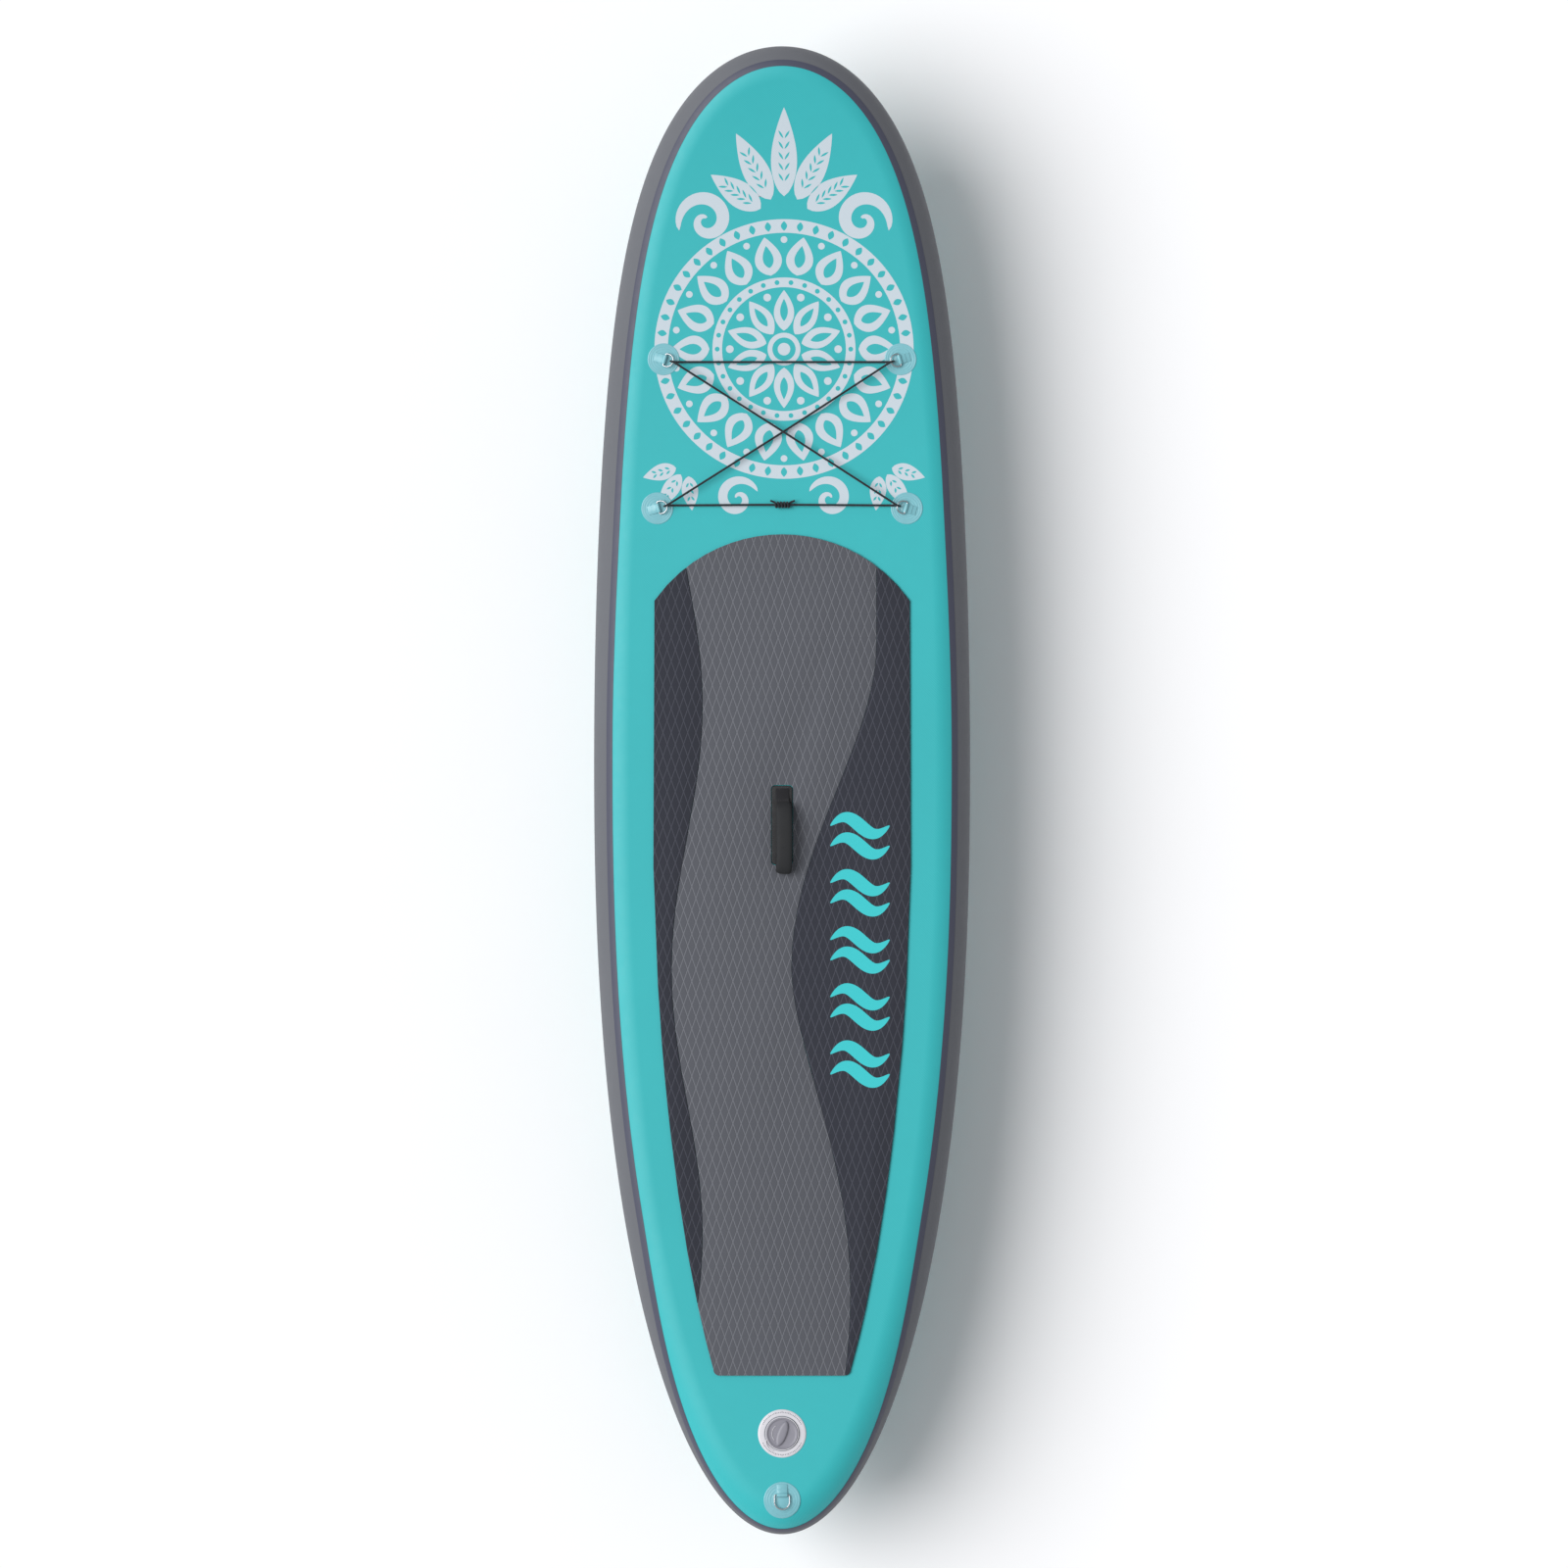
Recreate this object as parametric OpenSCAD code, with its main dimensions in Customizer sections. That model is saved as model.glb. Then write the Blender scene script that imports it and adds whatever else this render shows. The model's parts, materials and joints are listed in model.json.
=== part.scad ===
// Inflatable stand up paddleboard, laid deck up.
// Y runs along the board with the nose at +Y, X runs across with starboard at +X, Z is up.
// The origin is on the flat of the bottom, on the centreline, half way between nose and tail.

/* [Board] */
// overall length, nose tip to tail tip
board_len = 3080; // [2900:10:3200]
// beam at the widest point
board_w = 780; // [760:10:840]
// inflated thickness
board_t = 150; // [140:2:150]
// how far the widest point sits ahead of mid-length
wide_at = 60; // [20:5:100]
// how far the nose tip is lifted by the rocker
nose_lift = 95; // [60:5:120]
// where the nose rocker starts, ahead of mid-length
rocker_from = 590; // [570:5:650]
// thickness of the coated cloth
cloth_t = 1.6; // [1.2:0.1:2]
// roundness of the nose's outline: 0 is an ellipse, more is blunter
nose_blunt = 0.53; // [0.45:0.01:0.6]
// angle above and below the middle of the rail where deck and bottom meet it
seam_angle = 60; // [56:1:66]
// how much higher up the rail the deck seam sits on the front half, degrees
seam_nose = 4; // [0:1:12]
// how much lower on the rail the deck seam sits at the tail, degrees
seam_tail = 26; // [0:1:28]
// width of the tape over each seam
tape_w = 15; // [10:1:20]

/* [Deck pad] */
// foam pad thickness
pad_t = 5; // [3:0.5:6]
// where the rounded front of the pad ends
pad_front = 532; // [500:2:550]
// where the straight back edge of the pad is
pad_back = -1207; // [-1220:5:-1150]
// bare deck left beside the pad, measured from the board's edge
pad_margin = 122; // [110:1:135]
// gap between neighbouring pieces of foam
pad_gap = 0.6; // [0.4:0.1:2]

/* [Carry handle] */
// middle of the handle's base along the board
handle_y = -69; // [-90:1:-40]
// base patch width
handle_w = 43; // [40:1:50]
// base patch length
handle_l = 163; // [155:1:175]
// width of the webbing in the handle
strap_w = 27; // [22:1:28]
// padded grip width
grip_w = 33; // [31:1:36]
// padded grip thickness
grip_t = 13; // [10:0.5:14]

/* [Inflation valve] */
// centre of the valve along the board
valve_y = -1327; // [-1335:1:-1300]
// outer radius of the flange on the deck
flange_r = 50; // [46:1:55]
// outer radius of the barrel inside the board
barrel_r = 30; // [29:0.5:30]
// bore radius of the barrel
barrel_bore_r = 26; // [25:0.5:26.5]

/* [Rings and bungee] */
// half distance between the two front nose rings
ring_front_x = 245; // [225:1:250]
// front nose rings, distance ahead of mid-length
ring_front_y = 894; // [870:1:910]
// half distance between the two rear nose rings
ring_rear_x = 258; // [240:1:265]
// rear nose rings, distance ahead of mid-length
ring_rear_y = 586; // [580:1:600]
// radius of the round patch under each nose ring
ring_patch_r = 33; // [31:1:38]
// wire radius of the rings
wire_r = 1.5; // [1.3:0.1:1.6]
// radius of the bungee cord
bungee_r = 2.25; // [2:0.05:2.3]
// tilt of the nose rings off the deck
ring_tilt = 14; // [14:1:15]
// radius of the round patch under the leash ring
tail_patch_r = 38; // [36:1:40]
// middle of the leash ring patch along the board
tail_patch_y = -1465; // [-1468:1:-1460]

/* [Fins] */
// centre fin box, distance from mid-length
fin_centre_y = -1208; // [-1215:1:-1190]
// side fin boxes, distance from mid-length
fin_side_y = -848; // [-870:1:-820]
// side fin boxes, distance from the centreline
fin_side_x = 163; // [140:1:175]
// toe-in of the side fins
toe = 3.5; // [0:0.5:5]
// fin box length
box_l = 212; // [205:1:220]
// fin box width
box_w = 70; // [66:1:76]
// fin box height below the bottom
box_h = 12; // [11.5:0.5:14]
// depth of the centre fin below its box
centre_fin_d = 200; // [150:5:220]
// depth of each side fin below its box
side_fin_d = 135; // [90:5:150]

/* [Hidden] */
half_w = board_w / 2;
edge_r = board_t / 2;
deck_z = board_t;
half_len = board_len / 2;
len_nose = half_len - wide_at;
len_tail = half_len + wide_at;
// outline steps down each side of the board
stations = 56;
pad_top = deck_z + 0.05 + pad_t;
// half width of the pad where its rounded front ends
pad_half_front = 264;
patch_t = 1;
// nose rings: place and height of the straight bar, length of the arms, half width
bar_u = 2;
bar_h = 5;
arm_u = 6;
ring_half = 13;
tip_u = bar_u + (arm_u + ring_half) * cos(ring_tilt);
tip_h = bar_h + (arm_u + ring_half) * sin(ring_tilt);
// turn of the bungee round the end of a ring
turn_r = 5.95;
turn_u = tip_u + 0.6;
turn_h = tip_h + 0.65;
// T-shaped slot of the fin boxes
slot_w = 24;
neck_w = 9;
slot_top = -4.6;
slot_low = -box_h + 2.8;
// gap left all round between parts that move
clear = 0.3;
$fn = 48;

// colours of the materials
c_cloth = [0.27, 0.76, 0.78];
c_rail = [0.45, 0.45, 0.48];
c_tape = [0.29, 0.30, 0.37];
c_foam = [0.24, 0.24, 0.27];
c_wave = [0.37, 0.38, 0.41];
c_black = [0.08, 0.08, 0.09];
c_film = [0.50, 0.72, 0.76];
c_white = [0.85, 0.84, 0.87];
c_grey = [0.58, 0.57, 0.62];
c_steel = [0.62, 0.64, 0.66];

// ---- shared shapes ----

function unit(v) = v / norm(v);
function flat(lists) = [for (l = lists) for (p = l) p];

// lift of the board's bottom by the rocker, and its slope
function rise(y) = y > rocker_from
    ? nose_lift * pow((y - rocker_from) / (half_len - rocker_from), 3.5)
    : 0;
function rise_slope(y) = (rise(y + 1) - rise(y - 1)) / 2;

// half width of the board at a distance along it
function plan_x(y) = y >= wide_at
    ? let(u = (y - wide_at) / len_nose)
        half_w * sqrt(max(0, 1 - (1 - nose_blunt) * pow(u, 2) - nose_blunt * pow(u, 6)))
    : half_w * pow(max(0, 1 - pow((wide_at - y) / len_tail, 2.3)), 0.5);

// outline point, t = 0 at the nose tip and 1 at the tail tip
function plan(t) = t <= 0.5
    ? let(a = 90 * (1 - 2 * t), s = sin(a))
        [half_w * cos(a) * sqrt(1 + nose_blunt * (pow(s, 2) + pow(s, 4))), wide_at + len_nose * s]
    : let(a = 90 * (2 * t - 1)) [half_w * cos(a), wide_at - len_tail * pow(sin(a), 2 / 2.3)];

// outward direction at an outline point
function outward(p) = unit(p[1] >= wide_at
    ? let(u = (p[1] - wide_at) / len_nose)
        [2 * p[0] / pow(half_w, 2), (2 * (1 - nose_blunt) * u + 6 * nose_blunt * pow(u, 5)) / len_nose]
    : [2 * p[0] / pow(half_w, 2), -2.3 * pow((wide_at - p[1]) / len_tail, 1.3) / len_tail]);

// point of the skin at outline station t, rail angle a and depth d under the surface
function skin(t, side, a, d) =
    let(p = plan(t), q = p - outward(p) * (edge_r - (edge_r - d) * cos(a)))
    [side * q[0], q[1], edge_r + (edge_r - d) * sin(a) + rise(q[1])];

// smooth step from 0 to 1
function ease(x) = let(u = min(1, max(0, x))) u * u * (3 - 2 * u);

// rail angle of the deck seam at an outline station
function deck_seam(t) = let(y = plan(t)[1])
    seam_angle + seam_nose * ease((y - 100) / 500) - seam_tail * ease((-860 - y) / 690);

// loop right round the board at one rail angle
function loop_t(k) = k <= stations ? k / stations : 2 - k / stations;
function skin_loop(a, d) = [for (k = [0 : 2 * stations - 1])
    skin(loop_t(k), k <= stations ? 1 : -1, a, d)];

// loop a share u of the way from the flat of the deck to its seam
function deck_loop(u, d) = [for (k = [0 : 2 * stations - 1])
    let(t = loop_t(k)) skin(t, k <= stations ? 1 : -1, 90 - (90 - deck_seam(t)) * u, d)];

// closed solid from loops that run right round the board, capped across at both ends
module looped(loops, flip = false) {
    n = 2 * stations;
    pts = flat(loops);
    last = (len(loops) - 1) * n;
    sides = [for (j = [0 : len(loops) - 2]) for (k = [0 : n - 1])
        let(a = j * n + k, b = j * n + (k + 1) % n)
        each [[a, a + n, b + n], [a, b + n, b]]];
    tops = [for (i = [0 : stations - 1])
        let(a = i, b = i + 1, c = (n - i - 1) % n, d = (n - i) % n)
        each (i == 0 ? [[a, b, c]] : i == stations - 1 ? [[a, b, d]] : [[a, b, c], [a, c, d]])];
    lows = [for (f = tops) [f[2] + last, f[1] + last, f[0] + last]];
    all = concat(sides, tops, lows);
    polyhedron(pts, [for (f = all) flip ? [f[2], f[1], f[0]] : f]);
}

// strip solid from sections made of an outer row of points and an inner row
module banded(secs, closed) {
    m = len(secs[0]);
    h = m / 2;
    count = len(secs);
    steps = closed ? count : count - 1;
    sides = [for (i = [0 : steps - 1]) for (j = [0 : m - 1])
        let(a = i * m + j, b = i * m + (j + 1) % m, c = ((i + 1) % count) * m + j,
            d = ((i + 1) % count) * m + (j + 1) % m)
        each [[a, c, d], [a, d, b]]];
    ends = closed ? [] : [for (j = [0 : h - 2])
        let(a = j, b = j + 1, c = m - 2 - j, d = m - 1 - j, o = (count - 1) * m)
        each [[a, b, c], [a, c, d], [o + c, o + b, o + a], [o + d, o + c, o + a]]];
    polyhedron(flat(secs), concat(sides, ends));
}

// section swept along a path, u across along the reference and v square to it
module swept(path, section, ref, closed = false) {
    n = len(path);
    m = len(section);
    pts = flat([for (i = [0 : n - 1])
        let(a = closed ? path[(i + n - 1) % n] : path[max(0, i - 1)],
            b = closed ? path[(i + 1) % n] : path[min(n - 1, i + 1)],
            t = unit(b - a), u = unit(ref - t * (ref * t)), v = cross(t, u))
        [for (s = section) path[i] + u * s[0] + v * s[1]]]);
    steps = closed ? n : n - 1;
    sides = [for (i = [0 : steps - 1]) for (j = [0 : m - 1])
        let(a = i * m + j, b = i * m + (j + 1) % m, c = ((i + 1) % n) * m + j,
            d = ((i + 1) % n) * m + (j + 1) % m)
        each [[a, c, d], [a, d, b]]];
    ends = closed ? [] : [for (j = [1 : m - 2]) let(o = (n - 1) * m)
        each [[0, j, j + 1], [o, o + j + 1, o + j]]];
    polyhedron(pts, concat(sides, ends));
}

function round_section(r, n) = [for (i = [0 : n - 1]) [r * cos(360 * i / n), r * sin(360 * i / n)]];

// smooth curve through a list of points
function smooth(p, k) = [for (i = [0 : len(p) - 2]) for (j = [0 : k - 1])
    let(a = p[max(0, i - 1)], b = p[i], c = p[i + 1], d = p[min(len(p) - 1, i + 2)], t = j / k)
    0.5 * (2 * b + (c - a) * t + (2 * a - 5 * b + 4 * c - d) * pow(t, 2)
        + (3 * b - a - 3 * c + d) * pow(t, 3))];

function bezier(a, b, c, d, t) =
    a * pow(1 - t, 3) + b * 3 * t * pow(1 - t, 2) + c * 3 * t * t * (1 - t) + d * pow(t, 3);

// flat plate with round corners, lying between two heights
module plate(w, l, r, low, high) {
    corner = [[1, 1, 0], [-1, 1, 90], [-1, -1, 180], [1, -1, 270]];
    translate([0, 0, low])
        linear_extrude(high - low)
            polygon([for (c = corner) for (a = [0 : 15 : 90])
                [c[0] * (w / 2 - r) + r * cos(a + c[2]), c[1] * (l / 2 - r) + r * sin(a + c[2])]]);
}

module tube(r, bore, low, high) {
    difference() {
        translate([0, 0, low]) cylinder(r = r, h = high - low);
        translate([0, 0, low - 1]) cylinder(r = bore, h = high - low + 2);
    }
}

module block(low, high) {
    translate(low) cube(high - low);
}

// ---- hull ----

module deck_panel() {
    color(c_cloth)
        difference() {
            looped([for (i = [0 : 4]) deck_loop(i / 4, 0),
                for (i = [4 : -1 : 0]) deck_loop(i / 4, cloth_t)]);
            translate([0, valve_y, deck_z - 20]) cylinder(r = barrel_r + clear, h = 40);
        }
}

module bottom_panel() {
    color(c_cloth)
        looped([for (a = [90, 80, 70, seam_angle]) skin_loop(-a, 0),
            for (a = [seam_angle, 70, 80, 90]) skin_loop(-a, cloth_t)], flip = true);
}

module rail(side) {
    lap = 0.4;
    low = lap - seam_angle;
    color(c_rail)
        banded([for (k = [0 : stations])
            let(t = side > 0 ? k / stations : 1 - k / stations,
                arc = [for (i = [0 : 8]) low + (deck_seam(t) - lap - low) * i / 8])
            concat([for (a = arc) skin(t, side, a, 0)],
                [for (i = [8 : -1 : 0]) skin(t, side, arc[i], cloth_t)])],
            closed = false);
}

module seam_tape(up) {
    span = tape_w / edge_r * 180 / PI;
    color(c_tape)
        banded([for (k = [0 : 2 * stations - 1])
            let(t = loop_t(k), s = k <= stations ? 1 : -1, top = 1.5 + (up ? deck_seam(t) : seam_angle),
                arc = [for (i = [0 : 2]) top - span * (1 - i / 2)])
            up
                ? concat([for (a = arc) skin(t, s, a, -0.9)],
                    [for (i = [2 : -1 : 0]) skin(t, s, arc[i], -0.3)])
                : concat([for (i = [2 : -1 : 0]) skin(t, s, -arc[i], -0.9)],
                    [for (a = arc) skin(t, s, -a, -0.3)])],
            closed = true);
}

module drop_stitch_yarns() {
    color(c_white)
        for (y = [-1380 : 120 : 1380])
            for (x = [-270 : 108 : 270])
                if (abs(x) < plan_x(y) - edge_r - 15)
                    if (norm([x, y - valve_y]) > barrel_r + 12)
                        translate([x, y, cloth_t + 0.6 + rise(y)])
                            cylinder(r = 0.8, h = board_t - 2 * cloth_t - 1.2, $fn = 6);
}

// ---- foam deck pad ----

function pad_x(y) = plan_x(y) - pad_margin + (y < -600 ? 9 * pow((-600 - y) / 607, 2) : 0);
function pad_side_top() = pad_front - 137;

// left and right edges of the lighter band, which swings across the pad like a wave
function wave_left(y) = -196 + 32 * cos(360 * (y - 180) / 1096);
function wave_right(y) = y > -370
    ? 107 + 88 * cos(180 * pow(max(0, 300 - y) / 670, 0.9))
    : 80 - 61 * cos(180 * pow(max(0, -370 - y) / 670, 0.8));

module pad_blank() {
    front_r = (pow(pad_half_front, 2) + pow(137, 2)) / (2 * 137);
    arc = [for (i = [-10 : 10]) let(x = pad_half_front * i / 10)
        [x, pad_front - front_r + sqrt(pow(front_r, 2) - x * x)]];
    r = 12;
    ys = [for (i = [1 : 26]) pad_side_top() + (pad_back + r - pad_side_top()) * i / 26];
    edge = [for (y = ys) [min(pad_x(y), pad_half_front + 4), y]];
    corner = [for (a = [15 : 15 : 90]) edge[25] - [r - r * cos(a), r * sin(a)]];
    right = concat(edge, corner);
    left = [for (i = [len(right) - 1 : -1 : 0]) [-right[i][0], right[i][1]]];
    translate([0, 0, deck_z + 0.05])
        linear_extrude(pad_t)
            polygon(concat(arc, right, left));
}

module pad_side(edge, shift, side) {
    ys = [for (i = [0 : 44]) 600 - (600 - pad_back + 40) * i / 44];
    translate([0, 0, deck_z - 5])
        linear_extrude(pad_t + 20)
            polygon(concat([for (y = ys) [(edge == "left" ? wave_left(y) : wave_right(y)) + shift, y]],
                [[side * 500, pad_back - 40], [side * 500, 600]]));
}

module deck_pad_wave() {
    color(c_wave)
        difference() {
            intersection() {
                pad_blank();
                pad_side("left", 0, 1);
                pad_side("right", 0, -1);
            }
            translate([0, handle_y, 0]) plate(handle_w + 3, handle_l + 3, 9, deck_z - 5, pad_top + 5);
        }
}

module deck_pad_port() {
    color(c_foam)
        intersection() {
            pad_blank();
            pad_side("left", -pad_gap, -1);
        }
}

module deck_pad_starboard() {
    color(c_foam)
        intersection() {
            pad_blank();
            pad_side("right", pad_gap, 1);
        }
}

// ---- carry handle ----

patch_top = pad_top + 0.4;
// the webbing's run, as distance behind the base's front edge and height over the base
handle_run = [[6, 1.3], [18, 1.3], [28, 4], [37, 12], [50, 22], [75, 29], [108, 31], [140, 30],
    [166, 25], [178, 16], [175, 6.5], [163, 2], [151, 1.3], [140, 1.3]];
handle_path = [for (p = smooth(handle_run, 3))
    [5 * p[1] / 31, handle_y + handle_l / 2 - p[0], patch_top + p[1]]];

function oval(a, b) = [for (i = [0 : 15]) let(c = cos(22.5 * i), s = sin(22.5 * i))
    [a * sign(c) * pow(abs(c), 0.7), b * sign(s) * pow(abs(s), 0.8)]];
function strip(a, b) = [[a, b], [-a, b], [-a, -b], [a, -b]];

module handle_patch() {
    color(c_black)
        translate([0, handle_y, 0]) plate(handle_w, handle_l, 8, deck_z + 0.05, patch_top);
}

module handle_strap() {
    color(c_black)
        swept(handle_path, strip(strap_w / 2, 0.9), [1, 0, 0]);
}

module handle_grip() {
    covered = [for (i = [9 : 27]) handle_path[i]];
    color(c_black)
        difference() {
            swept(covered, oval(grip_w / 2, grip_t / 2), [1, 0, 0]);
            swept([for (i = [6 : 30]) handle_path[i]], strip(strap_w / 2 + 0.6, 1.5), [1, 0, 0]);
        }
}

// ---- inflation valve ----

module at_valve() {
    translate([0, valve_y, 0]) children();
}

module valve_flange() {
    color(c_white)
        at_valve()
            difference() {
                tube(flange_r, 36, deck_z + 0.1, deck_z + 2.3);
                difference() {
                    translate([0, 0, deck_z + 1.7]) cylinder(r = flange_r + 1, h = 2);
                    translate([0, 0, deck_z + 1]) cylinder(r1 = flange_r + 1, r2 = flange_r - 1.4, h = 1.4);
                }
            }
}

module valve_body() {
    color(c_grey)
        at_valve() {
            difference() {
                union() {
                    translate([0, 0, deck_z - 54]) cylinder(r = barrel_r, h = 56);
                    translate([0, 0, deck_z + 0.1]) cylinder(r = 35.6, h = 3);
                }
                translate([0, 0, deck_z - 50]) cylinder(r = barrel_bore_r, h = 60);
                translate([0, 0, deck_z - 60]) cylinder(r = 18, h = 20);
            }
            difference() {
                for (a = [0, 120, 240])
                    rotate(a) block([4, -2, deck_z - 32], [barrel_bore_r + 1, 2, deck_z - 28]);
                translate([0, 0, deck_z - 40]) cylinder(r = 5, h = 20);
            }
            tube(6.5, 3.3, deck_z - 32, deck_z - 28);
        }
}

module valve_backing_ring() {
    color(c_grey)
        at_valve() {
            difference() {
                tube(37, barrel_r + 0.15, deck_z - 12, deck_z - cloth_t - 0.1);
                for (a = [0 : 45 : 315])
                    rotate(a) block([35, -3, deck_z - 13], [40, 3, deck_z - 5]);
            }
        }
}

module valve_spring() {
    turns = 4;
    low = deck_z - 27;
    high = deck_z - 14.9;
    path = [for (i = [0 : turns * 16]) let(a = i * 22.5)
        [6.2 * cos(a), valve_y + 6.2 * sin(a), low + (high - low) * i / (turns * 16)]];
    color(c_steel)
        swept(path, round_section(0.6, 6), [0, 0, 1]);
}

module valve_stem() {
    color(c_white)
        at_valve() {
            translate([0, 0, deck_z - 60]) cylinder(r = 3, h = 47);
            translate([0, 0, deck_z - 14]) cylinder(r = 8, h = 3);
            translate([0, 0, deck_z - 11]) cylinder(r = 5.5, h = 2.5);
            translate([0, 0, deck_z - 60]) cylinder(r = 22, h = 3);
        }
}

module valve_stem_seal() {
    color(c_black)
        at_valve()
            tube(21, 16.5, deck_z - 56.9, deck_z - 54.2);
}

module valve_cap() {
    color(c_grey)
        at_valve() {
            tube(barrel_bore_r - 0.4, barrel_bore_r - 3, deck_z - 6.5, deck_z + 4.5);
            translate([0, 0, deck_z + 4.2]) cylinder(r = 32.8, h = 1.8);
            tube(32.8, 29.5, deck_z + 5, deck_z + 8);
            rotate(-20) {
                block([-8, -20, deck_z + 5.5], [8, 20, deck_z + 11]);
                for (s = [-1, 1])
                    translate([0, 20 * s, deck_z + 5.5]) cylinder(r = 8, h = 5.5);
            }
        }
}

module valve_cap_gasket() {
    color(c_black)
        at_valve() tube(32, 27, deck_z + 3.3, deck_z + 4.1);
}

module valve_cap_collar() {
    color(c_white)
        at_valve() tube(34.6, 33.1, deck_z + 4.2, deck_z + 6.4);
}

module valve_tether() {
    run = [[200, 35.5, 5.4], [206, 37.4, 5.2], [214, 39.2, 4.6],
        [224, 40.6, 3.8], [234, 40.8, 3.3], [244, 39.4, 3.2]];
    path = [for (p = smooth(run, 3)) [p[1] * cos(p[0]), valve_y + p[1] * sin(p[0]), deck_z + p[2]]];
    color(c_white)
        swept(path, strip(0.6, 0.9), [0, 0, 1]);
}

// ---- nose rings and bungee ----

// each nose ring as position on the deck and direction of pull
rings = [[-ring_front_x, ring_front_y, -16], [-ring_rear_x, ring_rear_y, 16],
    [ring_front_x, ring_front_y, 196], [ring_rear_x, ring_rear_y, 164]];

module on_deck(r) {
    translate([r[0], r[1], deck_z + rise(r[1]) + 0.2])
        rotate([atan(rise_slope(r[1])), 0, 0])
            rotate([0, 0, r[2]])
                children();
}

module ring_patch(r) {
    color(c_film)
        on_deck(r) cylinder(r = ring_patch_r, h = patch_t);
}

// webbing tab, folded over the straight bar of a ring
module tab(w, l) {
    difference() {
        union() {
            block([bar_u - l, -w / 2, patch_t + 0.1], [bar_u, w / 2, patch_t + 1.3]);
            block([bar_u - l * 0.6, -w / 2, patch_t + 1.3], [bar_u - 1.5, w / 2, patch_t + 2.5]);
            translate([bar_u, 0, bar_h]) rotate([90, 0, 0])
                cylinder(r = bar_h - patch_t - 0.1, h = w, center = true);
        }
        translate([bar_u, 0, bar_h]) rotate([90, 0, 0])
            cylinder(r = wire_r + clear, h = w + 2, center = true);
    }
}

module ring_tab(r) {
    color(c_film)
        on_deck(r) tab(18, 22);
}

// D-shaped ring lying along +X from its straight bar at the origin
module d_ring(half, arm, r) {
    bend = 3;
    rotate([90, 0, 0]) cylinder(r = r, h = 2 * (half - bend), center = true, $fn = 24);
    for (s = [0, 1]) {
        translate([bend, (1 - 2 * s) * (half - bend), 0])
            rotate([0, 0, 90 + 90 * s])
                rotate_extrude(angle = 90, $fn = 32) translate([bend, 0]) circle(r = r, $fn = 24);
        translate([bend, (1 - 2 * s) * half, 0])
            rotate([0, 90, 0]) cylinder(r = r, h = arm - bend, $fn = 24);
    }
    translate([arm, 0, 0])
        rotate([0, 0, -90])
            rotate_extrude(angle = 180, $fn = 48) translate([half, 0]) circle(r = r, $fn = 24);
}

module nose_ring(r) {
    color(c_steel)
        on_deck(r)
            translate([bar_u, 0, bar_h])
                rotate([0, -ring_tilt, 0])
                    d_ring(ring_half, arm_u, wire_r);
}

// point beside a nose ring, out along its pull direction and over the deck
function by_ring(r, u, h) = let(dx = u * cos(r[2]), dy = u * sin(r[2]))
    [r[0] + dx, r[1] + dy, deck_z + 0.2 + rise(r[1]) + rise_slope(r[1]) * dy + h];

// the cord's turn round a ring's wire, from over it to under it
function turn(r, s) = [for (i = [0 : 8]) let(a = s * (90 - 22.5 * i))
    by_ring(r, turn_u - turn_r * cos(a), turn_h + turn_r * sin(a))];

module bungee_cord() {
    mid_y = (ring_front_y + ring_rear_y) / 2;
    path = concat(
        [[0, ring_rear_y + 7, deck_z + 8]],
        [[50, ring_rear_y + 7, deck_z + 8]],
        turn(rings[3], -1),
        [[4, mid_y + 3, deck_z + 14.5]],
        turn(rings[0], 1),
        [[0, ring_front_y - 6, deck_z + rise(ring_front_y) + 8.5]],
        turn(rings[2], -1),
        [[4, mid_y + 5, deck_z + 8.2]],
        turn(rings[1], 1),
        [[-50, ring_rear_y + 7, deck_z + 8]]);
    color(c_black)
        swept(path, round_section(bungee_r, 10), [0, 1, 0], closed = true);
}

module bungee_knot() {
    turns = 5;
    coil = 2 * bungee_r + 0.5;
    path = [for (i = [0 : turns * 12]) let(a = i * 30)
        [-15 + 32 * i / (turns * 12), ring_rear_y + 7 + coil * cos(a), deck_z + 8 + coil * sin(a)]];
    tails = [for (s = [-1, 1]) [for (i = [0 : 3])
        [s * (17.5 + 3 * i), ring_rear_y + 7 + coil + 1.3 * i * i / 3, deck_z + 8 + i]]];
    color(c_black)
        swept(concat([for (i = [3 : -1 : 1]) tails[0][i]], path, [for (i = [1 : 3]) tails[1][i]]),
            round_section(bungee_r, 8), [1, 0.12, 0.3]);
}

// ---- leash ring at the tail ----

// height of the deck skin near the tail, where it rolls over the rail
function tail_skin(x, y) =
    let(w = max(0, 1 - pow(x / half_w, 2)),
        edge_y = wide_at - len_tail * pow(w, 1 / 2.3),
        fall = len_tail * pow(max(0.01, w), 1 / 2.3 - 1) * 2 * x / (2.3 * half_w * half_w),
        inset = min(edge_r, max(1, (y - edge_y) / sqrt(1 + fall * fall))))
    edge_r + sqrt(pow(edge_r, 2) - pow(edge_r - inset, 2));

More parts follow.
